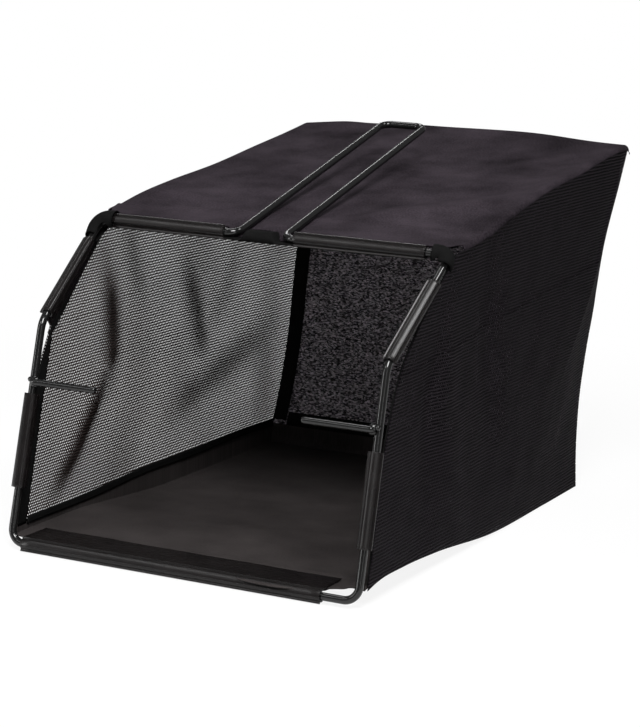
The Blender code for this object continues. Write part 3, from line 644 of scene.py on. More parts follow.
def open_mesh_group():
    """Ribbed net: solid where a row rib or a cross thread lies, and open between them. Each thread is a sine wave
    cut at a level, and a gathered place moves the level so that the threads close up."""
    inputs = {"Row pitch": 0.0022, "Thread pitch": 0.0024, "Gathered": 0.0}
    nodes, given, made = new_group("ribbed net", inputs, ["Alpha", "Height", "Rib"])
    x, y, _ = nodes.split(given["Place"])
    drift = nodes.math("MULTIPLY", nodes.math("SUBTRACT", nodes.noise(given["Place"], 160.0), 0.5), 0.0012)
    place = nodes.math("ADD", y, drift)
    rib = nodes.half_up(nodes.sine(place, given["Row pitch"]))
    row = nodes.math("FLOOR", nodes.math("SUBTRACT", nodes.math("DIVIDE", place, given["Row pitch"]), 0.25))
    step = nodes.math("MULTIPLY", nodes.math("MULTIPLY", row, 0.5), given["Thread pitch"])
    thread = nodes.half_up(nodes.sine(nodes.math("ADD", nodes.math("ADD", x, drift), step), given["Thread pitch"]))
    parts = []
    for value, open_level, shut in ((rib, 0.56, 0.50), (thread, 0.72, 0.60)):
        level = nodes.math("MULTIPLY_ADD", given["Gathered"], -shut, open_level)
        parts.append(nodes.math("MULTIPLY_ADD", nodes.math("SUBTRACT", value, level), 9.0, 0.5, clamp=True))
    nodes.feed(made["Alpha"], nodes.math("MAXIMUM", *parts))
    nodes.feed(made["Height"], nodes.math("MAXIMUM", rib, nodes.math("MULTIPLY", thread, 0.6)))
    nodes.feed(made["Rib"], rib)
    return nodes.tree


def streak_group():
    """Drawing lines along a moulded strip: noise stretched fifty times along its length."""
    nodes, given, made = new_group("drawn streaks", {"Scale": 900.0}, ["Streak"])
    drawn = nodes.add("Mapping", {"Vector": given["Place"], "Scale": (0.02, 1.0, 1.0)}).outputs[0]
    nodes.feed(made["Streak"], nodes.noise(drawn, given["Scale"], 3.0))
    return nodes.tree


GROUP_MAKERS = {
    "weave": weave_group, "mottle": mottle_group, "speckle": speckle_group, "net": open_mesh_group,
    "streak": streak_group,
}
GROUPS = {}
MATERIALS = {}


class Finish(Nodes):
    """A new material with a plain shader, to which its finish is added."""

    def __init__(self, name, specular, roughness=0.5):
        self.material = bpy.data.materials.new(name)
        self.material.use_nodes = True
        super().__init__(self.material.node_tree)
        self.shader = self.tree.nodes["Principled BSDF"].inputs
        self.shader["Roughness"].default_value = roughness
        self.shader["Specular IOR Level"].default_value = specular

    def on_cloth(self):
        return self.add("UVMap", uv_map="cloth").outputs[0]

    def on_object(self):
        return self.add("TexCoord").outputs["Object"]

    def group(self, name, place, **values):
        """Outputs of one of the node groups, which is built when it is first asked for."""
        if name not in GROUPS:
            GROUPS[name] = GROUP_MAKERS[name]()
        inputs = {key.replace("_", " ").capitalize(): value for key, value in values.items()}
        return self.add("Group", {"Place": place, **inputs}, node_tree=GROUPS[name]).outputs

    def mottle(self, place, colour, scale, contrast):
        """Gives the shader a mottled colour."""
        tone = self.group("mottle", place, scale=scale, contrast=contrast, colour=(*colour, 1))
        self.feed(self.shader["Base Color"], tone["Colour"])
        return tone

    def relief(self, height, strength, distance):
        """Gives the shader a bumpy surface."""
        raised = self.add("Bump", {"Strength": strength, "Distance": distance, "Height": height})
        self.feed(self.shader["Normal"], raised.outputs[0])
        return self.material


def steel_material(colour):
    made = Finish("black enamelled steel", 0.38)
    tone = made.mottle(made.on_object(), colour, 60.0, 0.25)["Tone"]
    made.feed(made.shader["Roughness"], made.math("MULTIPLY", tone, 0.11))
    return made.relief(tone, 0.03, 0.0002)


def plastic_material(colour):
    made = Finish("glossy clip plastic", 0.22)
    made.mottle(made.on_object(), colour, 45.0, 0.5)
    streak = made.group("streak", made.on_cloth(), scale=900.0)["Streak"]
    made.feed(made.shader["Roughness"], made.math("MULTIPLY_ADD", streak, 0.20, 0.16))
    return made.relief(streak, 0.10, 0.0002)


def woven_material(name, colour, specular, roughness, mottling, pitch, relief):
    """Plain woven cloth or tape. mottling is its scale and contrast, and relief its strength and depth."""
    made = Finish(name, specular, roughness)
    place = made.on_cloth()
    made.mottle(place, colour, *mottling)
    return made.relief(made.group("weave", place, pitch=pitch)["Height"], *relief)


def coarse_material(name, dark, light):
    made = Finish(name, 0.02, 0.9)
    loops = made.group("speckle", made.on_cloth(), size=0.0008, dark=(*dark, 1), light=(*light, 1))
    made.feed(made.shader["Base Color"], loops["Colour"])
    return made.relief(loops["Height"], 0.8, 0.0008)


def net_material(name, colour, pitch):
    """See-through mesh, with painted shade between its ribs and a painted highlight on their crests, and closed where
    the cloth is gathered.
    """
    made = Finish(name, 0.02, 0.6)
    place = made.on_cloth()
    gathered = made.add("Attribute", attribute_name="gathered").outputs["Fac"]
    net = made.group("net", place, row_pitch=pitch, thread_pitch=0.0024, gathered=gathered)
    tone = made.mottle(place, colour, 50.0, 0.3)["Colour"]
    # Painted shade and highlight: the colour is darker between the ribs and lighter on their crests, following the
    # rib's height.
    rib_shade_and_highlight = made.scaled(tone, made.math("MULTIPLY_ADD", net["Rib"], 1.8, 0.15))
    made.feed(made.shader["Base Color"], rib_shade_and_highlight)
    made.feed(made.shader["Alpha"], net["Alpha"])
    return made.relief(net["Height"], 1.0, 0.0009)


def material(name):
    """One of the bag's finishes, made when it is first asked for."""
    held = bpy.context.scene.grass_bag_colours
    makers = {
        "steel": lambda: steel_material(held.steel),
        "plastic": lambda: plastic_material(held.clips),
        "smooth": lambda: woven_material(
            "smooth dark cloth", held.top, 0.01, 0.75, (16.0, 0.85), 0.0008, (0.6, 0.00024)),
        "floor": lambda: woven_material(
            "coated floor cloth", held.floor, 0.01, 0.62, (16.0, 0.42), 0.0011, (0.35, 0.00033)),
        "tape": lambda: woven_material("binding tape", held.tape, 0.02, 0.8, (60.0, 0.35), 0.0009, (0.6, 0.0003)),
        "coarse": lambda: coarse_material("coarse dark cloth", held.back_dark, held.back_outside),
        # The back's inner face is the same cloth, with loop tops painted far lighter as painted light for the shaded
        # inside of the bag.
        "coarse inside painted lighter": lambda: coarse_material("coarse dark cloth, inside, painted lighter", held.back_dark, held.back_inside_painted_light),
        # Both sides are one mesh cloth: the left copy has a lighter, warmer colour as painted light, and the right
        # copy a darker colour as painted shade.
        "left net": lambda: net_material("black mesh cloth, left, painted lighter", held.left_mesh_painted_light, 0.0022),
        "right net": lambda: net_material("black mesh cloth, right, painted darker", held.right_mesh_painted_shade, 0.0025),
    }
    if name not in MATERIALS:
        MATERIALS[name] = makers[name]()
    return MATERIALS[name]


# Clips
def clip_bands(first):
    """Outer and inner line of the clip's section, point against point, from a first angle round the channel to its
    slot. The outside is a circle with a broad, nearly flat lobe over the wire, and a narrow rib on each side."""
    last, lobe_at, ribs_at = 330, 150, (95, 232)
    bore, outside, lobe_outside, rib_height = 0.0033, 0.0044, 0.0050, 0.0016
    angle = np.radians(np.linspace(first, last, 141))
    away = angle - math.radians(lobe_at)
    lobe = smooth(-np.abs(away), -0.56, -0.44)
    ribs = sum(smooth(-np.abs(angle - math.radians(turn)), -0.16, -0.10) for turn in ribs_at)
    reach = mix(outside, lobe_outside + 0.0017 * away**2, lobe) + rib_height * ribs
    circle = np.stack([np.cos(angle), np.sin(angle)], 1)
    return circle * reach[:, None], circle * bore


def flange_bands(first, last, low, high):
    """The same two lines for a flat flange that runs into the bag between two distances and two levels."""
    reach = np.linspace(last, first, 12)
    return tuple(np.stack([reach, np.full(12, level)], 1) for level in (high, low))


def swept_band(bands, start, end, across, out, stations=30, wander=0.0):
    """Closed body between two lines of a section carried straight from start to end."""
    outer, inner = bands
    places = np.linspace(0, 1, stations)
    centre = start + (end - start) * places[:, None]
    length = np.linalg.norm(end - start)
    rings = []
    for band in (outer, inner):
        lift = band[None, :, 1] + wander * ripple(places[:, None] * length * 80, band[None, :, 0] * 90, 17)
        rings.append(centre[:, None] + band[None, :, :1] * across + lift[..., None] * out)
    n = len(outer)
    shift = stations * n
    k = np.arange(n - 1)
    r = np.arange(stations - 1) * n
    last = (stations - 1) * n
    faces = np.concatenate([
        grid_faces(stations, n),
        grid_faces(stations, n, shift)[:, ::-1],
        np.stack([k, k + shift, k + 1 + shift, k + 1], 1),
        np.stack([last + k + 1, last + k + 1 + shift, last + k + shift, last + k], 1),
        np.stack([r, r + n, r + n + shift, r + shift], 1),
        np.stack([r + shift, r + n + shift, r + n, r], 1) + n - 1,
    ])
    if np.cross(end - start, across).dot(out) < 0:
        faces = faces[:, ::-1]
    cells = np.stack(np.broadcast_arrays((places * length)[:, None], np.linspace(0, 0.045, n)[None, :]), -1)
    return np.concatenate(rings).reshape(-1, 3), faces.tolist(), np.concatenate([cells, cells]).reshape(-1, 2)


# Operators
class PieceMaker:
    """What every piece of the bag shares: it is built from the sidebar or by name."""

    bl_options = {"REGISTER", "UNDO"}

    def execute(self, context):
        self.make(context.scene.grass_bag_sizes)
        return {"FINISHED"}


class BAG_OT_stage(PieceMaker, bpy.types.Operator):
    """Pale floor, soft lamps, plain sky and the camera"""

    bl_idname = "grass_bag.stage"
    bl_label = "Stage and camera"

    def make(self, sizes):
        scene = bpy.context.scene
        scene.view_settings.view_transform = "Standard"
        pale_world(scene)
        pale_floor()
        for lamp in (
            ("key lamp", (0.42, -1.00, 1.28), (0, -0.20, 0.16), (0.6, 0.6), 4.8, 70.0),
            ("overhead lamp", (1.12, 0.02, 2.2), (0.1, -0.1, 0.2), (0.45, 0.42), 17.0),
            ("front left strip", (-1.9, -1.8, 0.55), (0, -0.1, 0.15), (0.30, 1.5), 18.0),
            ("front right strip", (1.6, -2.2, 0.8), (0, -0.1, 0.12), (0.16, 1.4), 5.0),
            ("high strip", (-0.84, 0.39, 1.99), (0, -0.2, 0.15), (0.9, 0.22), 6.0),
            ("high left strip", (-0.80, -1.35, 1.26), (0, -0.2, 0.1), (0.7, 0.13), 3.0),
            ("lamp behind", (-1.03, 1.57, 1.61), (0, 0.1, 0.25), (1.2, 0.14), 5.0),
        ):
            soft_lamp(*lamp)
        photo_camera(scene)


GLOSS_SHARE = 0.12
SKY_LIGHT = 0.20


def seen_share(nodes):
    """1 for rays from the camera or through glass, and a small share for reflections."""
    rays = nodes.add("LightPath").outputs
    seen = nodes.math("MAXIMUM", rays["Is Camera Ray"], rays["Is Transmission Ray"])
    return nodes.math("MAXIMUM", seen, nodes.math("MULTIPLY", rays["Is Glossy Ray"], GLOSS_SHARE))


def pale_world(scene):
    """White where the camera or glass sees it, dim in reflections, and a weak even light on the bag."""
    world = bpy.data.worlds.new("plain sky")
    world.use_nodes = True
    nodes = Nodes(world.node_tree)
    back = nodes.tree.nodes["Background"].inputs
    nodes.feed(back["Color"], (1, 1, 1, 1))
    nodes.feed(back["Strength"], nodes.math("MAXIMUM", seen_share(nodes), SKY_LIGHT))
    scene.world = world


def pale_floor():
    """Matte ground that keeps the bag's shadow. Where it is seen it also glows, by a share that grows from 0.88 to 1
    with the distance from the bag."""
    half, near, reach, start = 6.0, 0.35, 0.5, 0.88
    corners = np.array([(-half, -half, 0), (half, -half, 0), (half, half, 0), (-half, half, 0)])
    floor = new_piece("pale_floor", corners - [0, 0, 0.0004], [(0, 1, 2, 3)], False)
    made = bpy.data.materials.new("pale floor")
    made.use_nodes = True
    nodes = Nodes(made.node_tree)
    nodes.tree.nodes.remove(nodes.tree.nodes["Principled BSDF"])
    matte = nodes.add("BsdfDiffuse", {"Color": (0.86, 0.86, 0.86, 1)}).outputs[0]
    glow = nodes.add("Emission", {"Strength": 1.0}).outputs[0]
    place = nodes.add("TexCoord").outputs["Object"]
    away = nodes.add("VectorMath", {0: place}, operation="LENGTH").outputs["Value"]
    far = nodes.math("DIVIDE", nodes.math("SUBTRACT", away, near), reach, clamp=True)
    share = nodes.math("MULTIPLY", seen_share(nodes), nodes.math("MULTIPLY_ADD", far, 1 - start, start))
    blend = nodes.add("MixShader", {0: share, 1: matte, 2: glow}).outputs[0]
    nodes.feed(nodes.tree.nodes["Material Output"].inputs["Surface"], blend)
    floor.data.materials.append(made)


def soft_lamp(name, place, aim, size, power, spread=180.0):
    light = bpy.data.lights.new(name, "AREA")
    light.shape = "RECTANGLE"
    light.size, light.size_y = size
    light.energy = power
    light.spread = math.radians(spread)
    obj = bpy.data.objects.new(name, light)
    obj.location = place
    obj.rotation_euler = (Vector(aim) - Vector(place)).to_track_quat("-Z", "Y").to_euler()
    bpy.context.scene.collection.objects.link(obj)


def photo_camera(scene):
    """Looks at the bag from the photograph's side, height and roll. The picture is 640 by 727."""
    azimuth, elevation, roll = (math.radians(a) for a in (26.08, 11.13, 1.96))
    distance = 1.820
    target = Vector((0.03408, 0.15353 - MIDDLE_Y, 0.13844))
    level = math.cos(elevation)
    back = Vector((math.sin(azimuth) * level, -math.cos(azimuth) * level, math.sin(elevation)))
    right = Vector((math.cos(azimuth), math.sin(azimuth), 0))
    up = back.cross(right)
    rolled = right * math.cos(roll) + up * math.sin(roll)
    lens = bpy.data.cameras.new("photo camera")
    lens.sensor_fit = "AUTO"
    lens.sensor_width = 36.0
    focal_pixels, picture_height = 2371, 727
    lens.lens = focal_pixels / picture_height * lens.sensor_width
    camera = bpy.data.objects.new("photo camera", lens)
    turn = Matrix((rolled, back.cross(rolled), back)).transposed().to_4x4()
    camera.matrix_world = Matrix.Translation(target + back * distance) @ turn
    scene.collection.objects.link(camera)
    scene.camera = camera


class BAG_OT_wire(PieceMaker, bpy.types.Operator):
    """One bent steel wire: mouth ring and carrying handle"""

    bl_idname = "grass_bag.wire"
    bl_label = "Frame wire and handle"

    def make(self, sizes):
        legs_y, legs_z = TOP_BACK + HANDLE_LENGTH, BAR + TOP_UP + HANDLE_RISE
        left, right = HANDLE_X - HANDLE_WIDTH / 2, HANDLE_X + HANDLE_WIDTH / 2
        front, behind = (TOP_BACK, BAR + TOP_UP), (legs_y, legs_z)
        turns = ((right, front), (right, behind), (left, behind), (left, front))
        handle = [np.array([x, *place]) for x, place in turns]
        corners = [ring_place(side, share) for side, share in ((-1, 0), (1, 0), (1, 1), (1, 2))]
        corners += handle + [ring_place(-1, 2), ring_place(-1, 1)]
        bends = [0.011, 0.011, 0.018, 0.011] + [0.009] * 4 + [0.011, 0.018]
        path = filled(rounded_path(corners, bends, 12), 0.004)
        vertices, faces = tube_mesh(path, sizes.wire_diameter / 2, 20, True)
        obj = new_piece("frame_wire_and_handle", shifted(vertices), faces)
        obj.data.materials.append(material("steel"))
        nodes = ("wire_frame", "handle_left_leg", "handle_right_leg", "handle_cross_bar")
        stand_for(obj, "black_enamelled_steel", *nodes)


class BAG_OT_pegs(PieceMaker, bpy.types.Operator):
    """Two short pegs across the uprights, with their weld beads"""

    bl_idname = "grass_bag.pegs"
    bl_label = "Hanging pegs"

    def make(self, sizes):
        peg_share = 0.1185 / KINK_UP
        bead_places = ((0.0034, 0.0019, 0.0030), (0.0036, -0.0017, 0.0027), (-0.0002, 0.0015, 0.0024))
        for name, side in (("left", -1), ("right", 1)):
            wire = ring_place(side, peg_share)
            square = into_bag(peg_share)
            radius = sizes.peg_diameter / 2
            reach = sizes.wire_diameter / 2 + radius + 0.0001
            centre = wire - np.array([0, square[0], square[1]]) * reach
            outer = abs(centre[0]) - 0.002
            x = outer - np.array([0, 0.0005, 0.0012, 0.003, 0.028, 0.0526, 0.0548, 0.0555, 0.056])
            profile = radius * np.array([0.70, 0.90, 1, 1, 1, 1, 1, 0.9, 0.72])
            path = np.stack([side * x, np.full(9, centre[1]), np.full(9, centre[2])], 1)
            rod = tube_mesh(path, profile, 20, False)
            beads = [
                weld_bead(wire + [-side * dx, -square[0] * 0.003, -square[1] * 0.003 + dz], size, 40 + k)
                for k, (dx, dz, size) in enumerate(bead_places)
            ]
            vertices, faces = joined([rod, *beads])
            obj = new_piece(f"hanging_peg_{name}", shifted(vertices), faces)
            obj.data.materials.append(material("steel"))
            stand_for(obj, "black_enamelled_steel", f"peg_{name}")


def weld_bead(centre, size, seed):
    """Small uneven drop: a sphere whose radius wanders with two sine waves of its angles."""
    rows, columns = 10, 16
    tilt = np.linspace(0, np.pi, rows)[1:-1, None]
    turn = np.linspace(0, 2 * np.pi, columns, endpoint=False)[None, :]
    wander = 1 + 0.10 * np.sin(3 * turn + seed) * np.sin(tilt) + 0.08 * np.cos(2 * tilt + seed)
    r = size * wander
    flat = r * np.sin(tilt)
    ring = np.stack([flat * np.cos(turn), flat * np.sin(turn), r * np.cos(tilt) * np.ones_like(turn)], -1)
    vertices = np.concatenate([ring.reshape(-1, 3), [[0, 0, size], [0, 0, -size]]]) + centre
    faces = grid_faces(rows - 2, columns, wrap=True)[:, ::-1].tolist()
    last = (rows - 3) * columns
    top, low = len(vertices) - 2, len(vertices) - 1
    for k in range(columns):
        faces.append([top, k, (k + 1) % columns])
        faces.append([low, last + (k + 1) % columns, last + k])
    return vertices, faces


class BAG_OT_clips(PieceMaker, bpy.types.Operator):
    """Seven glossy clips that hold the cloth on the wire"""

    bl_idname = "grass_bag.clips"
    bl_label = "Clips"

    def make(self, sizes):
        slope = math.hypot(1, TOP_CLIMB)
        along_top = np.array([0, 1 / slope, TOP_CLIMB / slope])
        up = np.array([0.0, 0.0, 1.0])
        stretches = []
        for name, y, z, first, last, across in (
            ("clip_top_left", TOP_BACK, BAR + TOP_UP, -0.1370, -0.0385, along_top),
            ("clip_top_right", TOP_BACK, BAR + TOP_UP, 0.0213, 0.1296, along_top),
            ("clip_bottom", 0.0, BAR, -0.1340, 0.1170, np.array([0.0, 1.0, 0.0])),
        ):
            stretches.append((name, np.array([first, y, z]), np.array([last, y, z]), across, up))
        for name, side, stretch, first, last in (
            ("clip_left_lower", -1, 0, 0.0413, 0.1127),
            ("clip_left_upper", -1, 1, 0.0086, 0.0891),
            ("clip_right_lower", 1, 0, 0.0372, 0.1063),
            ("clip_right_upper", 1, 1, 0.0030, 0.0839),
        ):
            low, high = ring_place(side, stretch), ring_place(side, stretch + 1)
            along = (high - low) / np.linalg.norm(high - low)
            across = np.array([0, *into_bag(stretch + 0.5)])
            stretches.append((name, low + along * first, low + along * last, across, np.array([side, 0.0, 0.0])))
        for name, start, end, across, outward in stretches:
            along = (end - start) / np.linalg.norm(end - start)
            across = across - along * across.dot(along)
            across /= np.linalg.norm(across)
            out = np.cross(along, across)
            if out.dot(outward) < 0:
                out = -out
            lines = (start, end, across, out)
            parts = [swept_band(clip_bands(35 if "left_" in name else 80), *lines)]
            if name == "clip_bottom":
                parts.append(swept_band(flange_bands(0.0004, 0.0313, 0.0041, 0.0053), *lines, 60, 0.0003))
            elif "left_" in name:
                parts.append(swept_band(flange_bands(0.0030, 0.0135, 0.0014, 0.0026), *lines, 30, 0.0002))
            vertices, faces = joined([part[:2] for part in parts])
            obj = new_piece(name + "_moulded", shifted(vertices), faces)
            set_uv(obj, np.concatenate([part[2] for part in parts]))
            edge = obj.modifiers.new("softened edges", "BEVEL")
            edge.width = 0.0002
            edge.segments = 2
            edge.limit_method = "ANGLE"
            edge.angle_limit = math.radians(50)
            obj.data.materials.append(material("plastic"))
            stand_for(obj, "glossy_clip_plastic", name)


class BAG_OT_top(PieceMaker, bpy.types.Operator):
    """Top panel with its hem crease and rolled side seams"""

    bl_idname = "grass_bag.top"
    bl_label = "Top panel"

    def make(self, sizes):
        points = top_face(*grid((0, 1, 181), (0, 1, 161)))
        obj = cloth("top_cloth", points, points[..., [0, 1]], sizes.cloth_thickness, material("smooth"))
        stand_for(obj, "smooth_dark_cloth", "top_panel")


class BAG_OT_sides(PieceMaker, bpy.types.Operator):
    """Two mesh side panels with their folds"""

    bl_idname = "grass_bag.sides"
    bl_label = "Mesh sides"

    def make(self, sizes):
        for name, side in (("left", -1), ("right", 1)):
            points, gather = side_face(side, *grid((0, 1, 201), (0, 1, 141)))
            net = material(f"{name} net")
            obj = cloth(f"{name}_mesh_cloth", points, points[..., [1, 2]], sizes.mesh_thickness, net, side < 0)
            set_value(obj, "gathered", np.clip(gather, 0, 1))
            stand_for(obj, "black_mesh_cloth", f"{name}_mesh_panel")


class BAG_OT_back(PieceMaker, bpy.types.Operator):
    """Back panel of coarse cloth"""

    bl_idname = "grass_bag.back"
    bl_label = "Back panel"

    def make(self, sizes):
        points = back_face(*grid((0, 1, 101), (0, 1, 101)))
        outside, inside = material("coarse"), material("coarse inside painted lighter")
        obj = cloth("back_cloth", points, points[..., [0, 2]], sizes.cloth_thickness, outside, True, inside)
        stand_for(obj, "coarse_dark_cloth", "back_panel")


class BAG_OT_floor(PieceMaker, bpy.types.Operator):
    """Floor panel, raised at the mouth and curled up to its seams"""

    bl_idname = "grass_bag.floor"
    bl_label = "Floor panel"

    def make(self, sizes):
        points = floor_face(*grid((0, 1, 161), (0, 1, 181)))
        obj = cloth("floor_cloth", points, points[..., [0, 1]], sizes.cloth_thickness, material("floor"), True)
        stand_for(obj, "coated_floor_cloth", "floor_panel")


class BAG_OT_mouth_cloth(PieceMaker, bpy.types.Operator):
    """Rolled cloth at the front of the top panel: the hem between the handle's legs and a flap at each wire corner"""

    bl_idname = "grass_bag.mouth_cloth"
    bl_label = "Front hem and corner flaps"

    def make(self, sizes):
        self.front_hem(sizes)
        self.corner_flap("left", -1, 0.0199915, 0.0070, (-30, 222))
        self.corner_flap("right", 1, 0.0125, 0.0066, (-30, 215))

    def front_hem(self, sizes):
        """From the top cloth over the front and under the bar's line: an ellipse whose top is pressed down where the
        handle's legs leave the bar, with a flat tail behind on both ends of the section."""
        u, v = grid((0, 1, 91), (0, 1, 49))
        x = mix(-0.0383, 0.0211, u)
        beside = np.abs(np.abs(x - HANDLE_X) - HANDLE_WIDTH / 2)
        outside = np.abs(x - HANDLE_X) > HANDLE_WIDTH / 2
        press = np.where(outside, 1.0, 1 - smooth(beside, 0.003, 0.0095))
        top = mix(0.0040, -0.0034, press) - 0.0006 * np.sin(np.pi * u)
        low = -0.0052 - 0.0006 * np.sin(np.pi * u)
        turn = np.radians(mix(90.0, 275.0, np.clip((v - 0.3) / 0.5, 0, 1)))
        tail = np.clip((0.3 - v) / 0.3, 0, 1)
        y = 0.0042 * np.cos(turn) + 0.013 * tail + 0.006 * np.clip((v - 0.8) / 0.2, 0, 1)
        z = (top + low) / 2 + (top - low) / 2 * np.sin(turn)
        z = z + 0.13 * np.clip(y, 0, None) * (v < 0.3) - 0.0015 * tail
        points = np.stack([x, TOP_BACK + y, BAR + TOP_UP + z], -1)
        cells = np.stack([x, v * 0.03], -1)
        obj = cloth("front_hem_roll", points, cells, 0.0009, material("tape"), True)
        stand_for(obj, "binding_tape")

    def corner_flap(self, name, side, drop, radius, reach):
        """Cloth wrapped round a wire corner: part of a tube along the bar, the bend and the slope. drop is how far
        it runs down the slope, and reach its first and last angle round the wire."""
        corner = ring_place(side, 2)
        one = corner + np.array([-side * 0.012, 0, 0])
        down = ring_place(side, 1) - corner
        down /= np.linalg.norm(down)
        two, low = corner + down * 0.012, corner + down * drop
        t = np.linspace(0, 1, 17)[1:-1, None]
        bend = (1 - t) ** 2 * one + 2 * t * (1 - t) * corner + t * t * two
        start = one - np.array([side * 0.0005, 0, 0])
        path = np.concatenate([np.linspace(start, one, 6), bend, np.linspace(two, low, 8)])
        ahead = np.gradient(path, axis=0)
        ahead /= np.linalg.norm(ahead, axis=1)[:, None]
        share = np.linspace(0, 1, len(path))[:, None]
        inward = mix(np.array([0, 0.99, 0.14]), np.array([0, *into_bag(1.9)]), share)
        inward = inward - ahead * (inward * ahead).sum(1)[:, None]
        inward /= np.linalg.norm(inward, axis=1)[:, None]
        out = np.cross(ahead, inward)
        out *= np.sign((out * [side * 0.6, 0, 0.8]).sum(1))[:, None]
        angle = np.radians(np.linspace(reach[0], reach[1], 41))[None, :]
        swell = radius * (mix(1.15, 0.85, share) + 0.08 * np.sin(np.pi * share))
        swell = swell + 0.0004 * ripple(share * 9, angle * 2, 31)
        ring = inward[:, None] * np.cos(angle)[..., None] + out[:, None] * np.sin(angle)[..., None]
        points = path[:, None] + ring * swell[..., None]
        cells = np.stack(np.broadcast_arrays(share * 0.03, angle * radius), -1)
        turned = np.cross(points[1, 20] - points[0, 20], points[0, 21] - points[0, 20]).dot(ring[0, 20]) > 0
        obj = cloth(f"corner_flap_{name}", points, cells, 0.0008, material("tape"), turned)
        stand_for(obj, "binding_tape")


class BAG_OT_bindings(PieceMaker, bpy.types.Operator):
    """Hems round the mouth and binding tapes on the inside seams"""

    bl_idname = "grass_bag.bindings"
    bl_label = "Hems and tapes"

    def make(self, sizes):
        for name, side in (("left", -1), ("right", 1)):
            self.side_hem(name, side)
            self.back_upright(name, side)
            self.top_side(name, side)
            self.floor_side(name, side)
        for name, node, face, across, along, offset, flip in (
            ("top", "hem", top_face, (0.03, 0.97), (0.004, 0.030), (0, 0, -0.0013), False),
            ("bottom", "hem", floor_face, (0.20, 0.80), (0.001, 0.022), (0, 0, -0.0011), True),
            ("back_bottom", "seam_tape", back_face, (0.05, 0.95), (0.004, 0.048), (0, -0.0016, 0), True),
            ("back_top", "seam_tape", back_face, (0.05, 0.95), (0.952, 0.990), (0, -0.0016, 0), True),
        ):
            points = face(*grid((*across, 81), (*along, 9))) + np.array(offset)
            self.strip(f"{name}_hem_strip", f"{name}_{node}", points, flip)

    def strip(self, name, node, points, flip):
        cells = np.stack([points[..., 0] + points[..., 1], points[..., 2]], -1)
        obj = cloth(name, points, cells, 0.0008, material("tape"), flip)
        stand_for(obj, "binding_tape", node)

    def side_hem(self, name, side):
        """Doubled edge inside the mouth: the side's own face moved inwards by a little more than its thickness. Its
        inner edge keeps a set distance behind the wire, so that it narrows at the kink."""
        u, v = grid((0, 1, 9), (0.008, 0.988, 141))
        share = mix(mouth_start(side), TOP_SHARE, v)
        behind = mix(0.0195, 0.0240, smooth(share, 0.9, 1.2))
        width = np.maximum(behind - eased(MOUTH_SHARES, MOUTH_GAPS, share), 0.003) + 0.016 * smooth(share, 1.80, 2.0)
        points, _ = side_face(side, u * width / 0.385, v)
        points[..., 0] -= side * 0.0012
        self.strip(f"{name}_mouth_hem", f"{name}_hem", points, side < 0)

    def back_upright(self, name, side):
        """Binding beside an upright back seam, on the inner face of the back panel."""
        u, v = grid((0, 1, 7), (0.02, 0.985, 61))
        half = eased(*BACK_HALF, mix(SEAM_Z, BACK_TOP_Z, v))
        share = (0.0001 + 0.0132 * u) / (2 * half)
        points = back_face(share if side < 0 else 1 - share, v)
        points[..., 1] -= 0.0016
        self.strip(f"back_{name}_binding", f"back_{name}_seam_tape", points, side < 0)

    def top_side(self, name, side):
        """Binding under a side edge of the top panel."""
        u, v = grid((0, 1, 7), (0.05, 0.96, 81))
        share = 0.5 + side * 0.5 * mix(0.85, 0.945, u)
        points = top_face(share, v)
        points[..., 2] -= 0.0016
        self.strip(f"top_{name}_binding", f"top_{name}_seam_tape", points, side > 0)

    def floor_side(self, name, side):
        """Narrow binding along the seam between floor and side, on the side's inner face."""
        points, _ = side_face(side, *grid((0.03, 0.985, 121), (0.006, 0.022, 5)))
        points[..., 0] -= side * 0.0019
        self.strip(f"floor_{name}_binding", f"floor_{name}_seam_tape", points, side < 0)


# Sizes and colours that a user would change
def length_property(name, text, value, low, high):
    return FloatProperty(name=name, description=text, default=value, min=low, max=high, unit="LENGTH")


def colour_property(name, text, value):
    return FloatVectorProperty(name=name, description=text, subtype="COLOR", size=3, min=0, max=1, default=value)


class GrassBagSizes(bpy.types.PropertyGroup):
    wire_diameter: length_property("Wire diameter", "Thickness of the frame wire", 0.006, 0.003, 0.009)
    peg_diameter: length_property("Peg diameter", "Thickness of the hanging pegs", 0.0052, 0.003, 0.008)
    cloth_thickness: length_property("Cloth thickness", "Thickness of the solid cloth", 0.001, 0.0004, 0.002)
    mesh_thickness: length_property("Mesh thickness", "Thickness of the see-through mesh", 0.0004, 0.0002, 0.001)


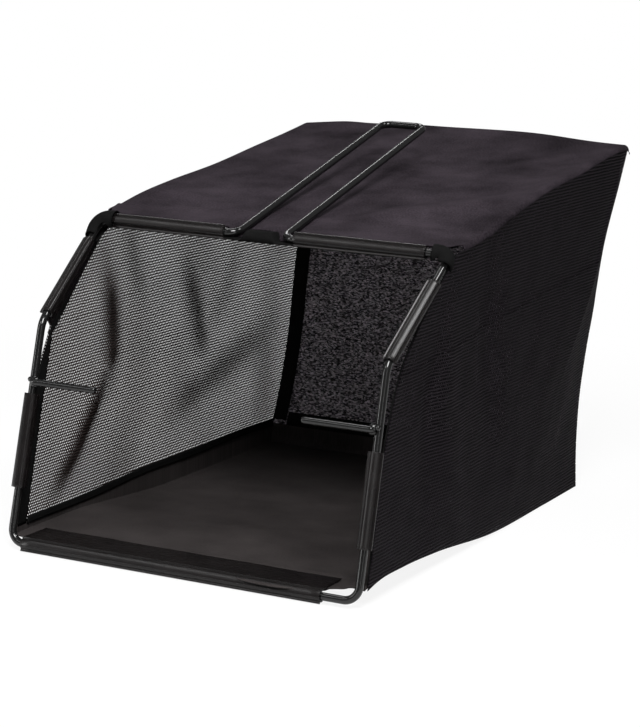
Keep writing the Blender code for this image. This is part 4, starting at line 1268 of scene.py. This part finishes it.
class GrassBagColours(bpy.types.PropertyGroup):
    steel: colour_property("Steel", "Enamel on the wire", (0.006, 0.006, 0.006))
    clips: colour_property("Clips", "Clip plastic", (0.006, 0.005, 0.005))
    top: colour_property("Top", "Smooth cloth of the top panel", (0.0255, 0.0207, 0.0252))
    floor: colour_property("Floor", "Coated cloth of the floor", (0.030, 0.0265, 0.0262))
    back_dark: colour_property("Back, dark", "Shadows between the back cloth's loops", (0.018, 0.016, 0.018))
    # The inside loop colour is painted light: the same cloth as outside, made much lighter because little light
    # reaches the inside of the bag.
    back_inside_painted_light: colour_property("Back, inside, painted lighter", "Tops of the back cloth's loops inside", (0.860, 0.785, 0.860))
    back_outside: colour_property("Back, outside", "Tops of the back cloth's loops outside", (0.085, 0.078, 0.085))
    # One mesh cloth in two colours: the left is painted lighter and warmer as painted light, and the right is painted
    # darker as painted shade.
    left_mesh_painted_light: colour_property("Mesh, left, painted lighter", "Threads of the left side", (0.0185, 0.0140, 0.0130))
    right_mesh_painted_shade: colour_property("Mesh, right, painted darker", "Threads of the right side", (0.0085, 0.0070, 0.0085))
    tape: colour_property("Tape", "Hems and binding tape", (0.006, 0.006, 0.006))


OPERATORS = (
    BAG_OT_stage, BAG_OT_wire, BAG_OT_pegs, BAG_OT_clips, BAG_OT_top, BAG_OT_sides, BAG_OT_back, BAG_OT_floor,
    BAG_OT_mouth_cloth, BAG_OT_bindings,
)


class BAG_PT_sidebar(bpy.types.Panel):
    bl_idname = "BAG_PT_sidebar"
    bl_label = "Grass collection bag"
    bl_space_type = "VIEW_3D"
    bl_region_type = "UI"
    bl_category = "Grass bag"

    def draw(self, context):
        for operator in OPERATORS:
            self.layout.operator(operator.bl_idname)
        for group in (context.scene.grass_bag_sizes, context.scene.grass_bag_colours):
            for key in group.__annotations__:
                self.layout.prop(group, key)


CLASSES = (GrassBagSizes, GrassBagColours, *OPERATORS, BAG_PT_sidebar)


def register():
    for cls in CLASSES:
        bpy.utils.register_class(cls)
    bpy.types.Scene.grass_bag_sizes = PointerProperty(type=GrassBagSizes)
    bpy.types.Scene.grass_bag_colours = PointerProperty(type=GrassBagColours)


def unregister():
    del bpy.types.Scene.grass_bag_sizes
    del bpy.types.Scene.grass_bag_colours
    for cls in reversed(CLASSES):
        bpy.utils.unregister_class(cls)


def main():
    register()
    for operator in OPERATORS:
        group, name = operator.bl_idname.split(".")
        getattr(getattr(bpy.ops, group), name)()


if __name__ == "__main__":
    main()
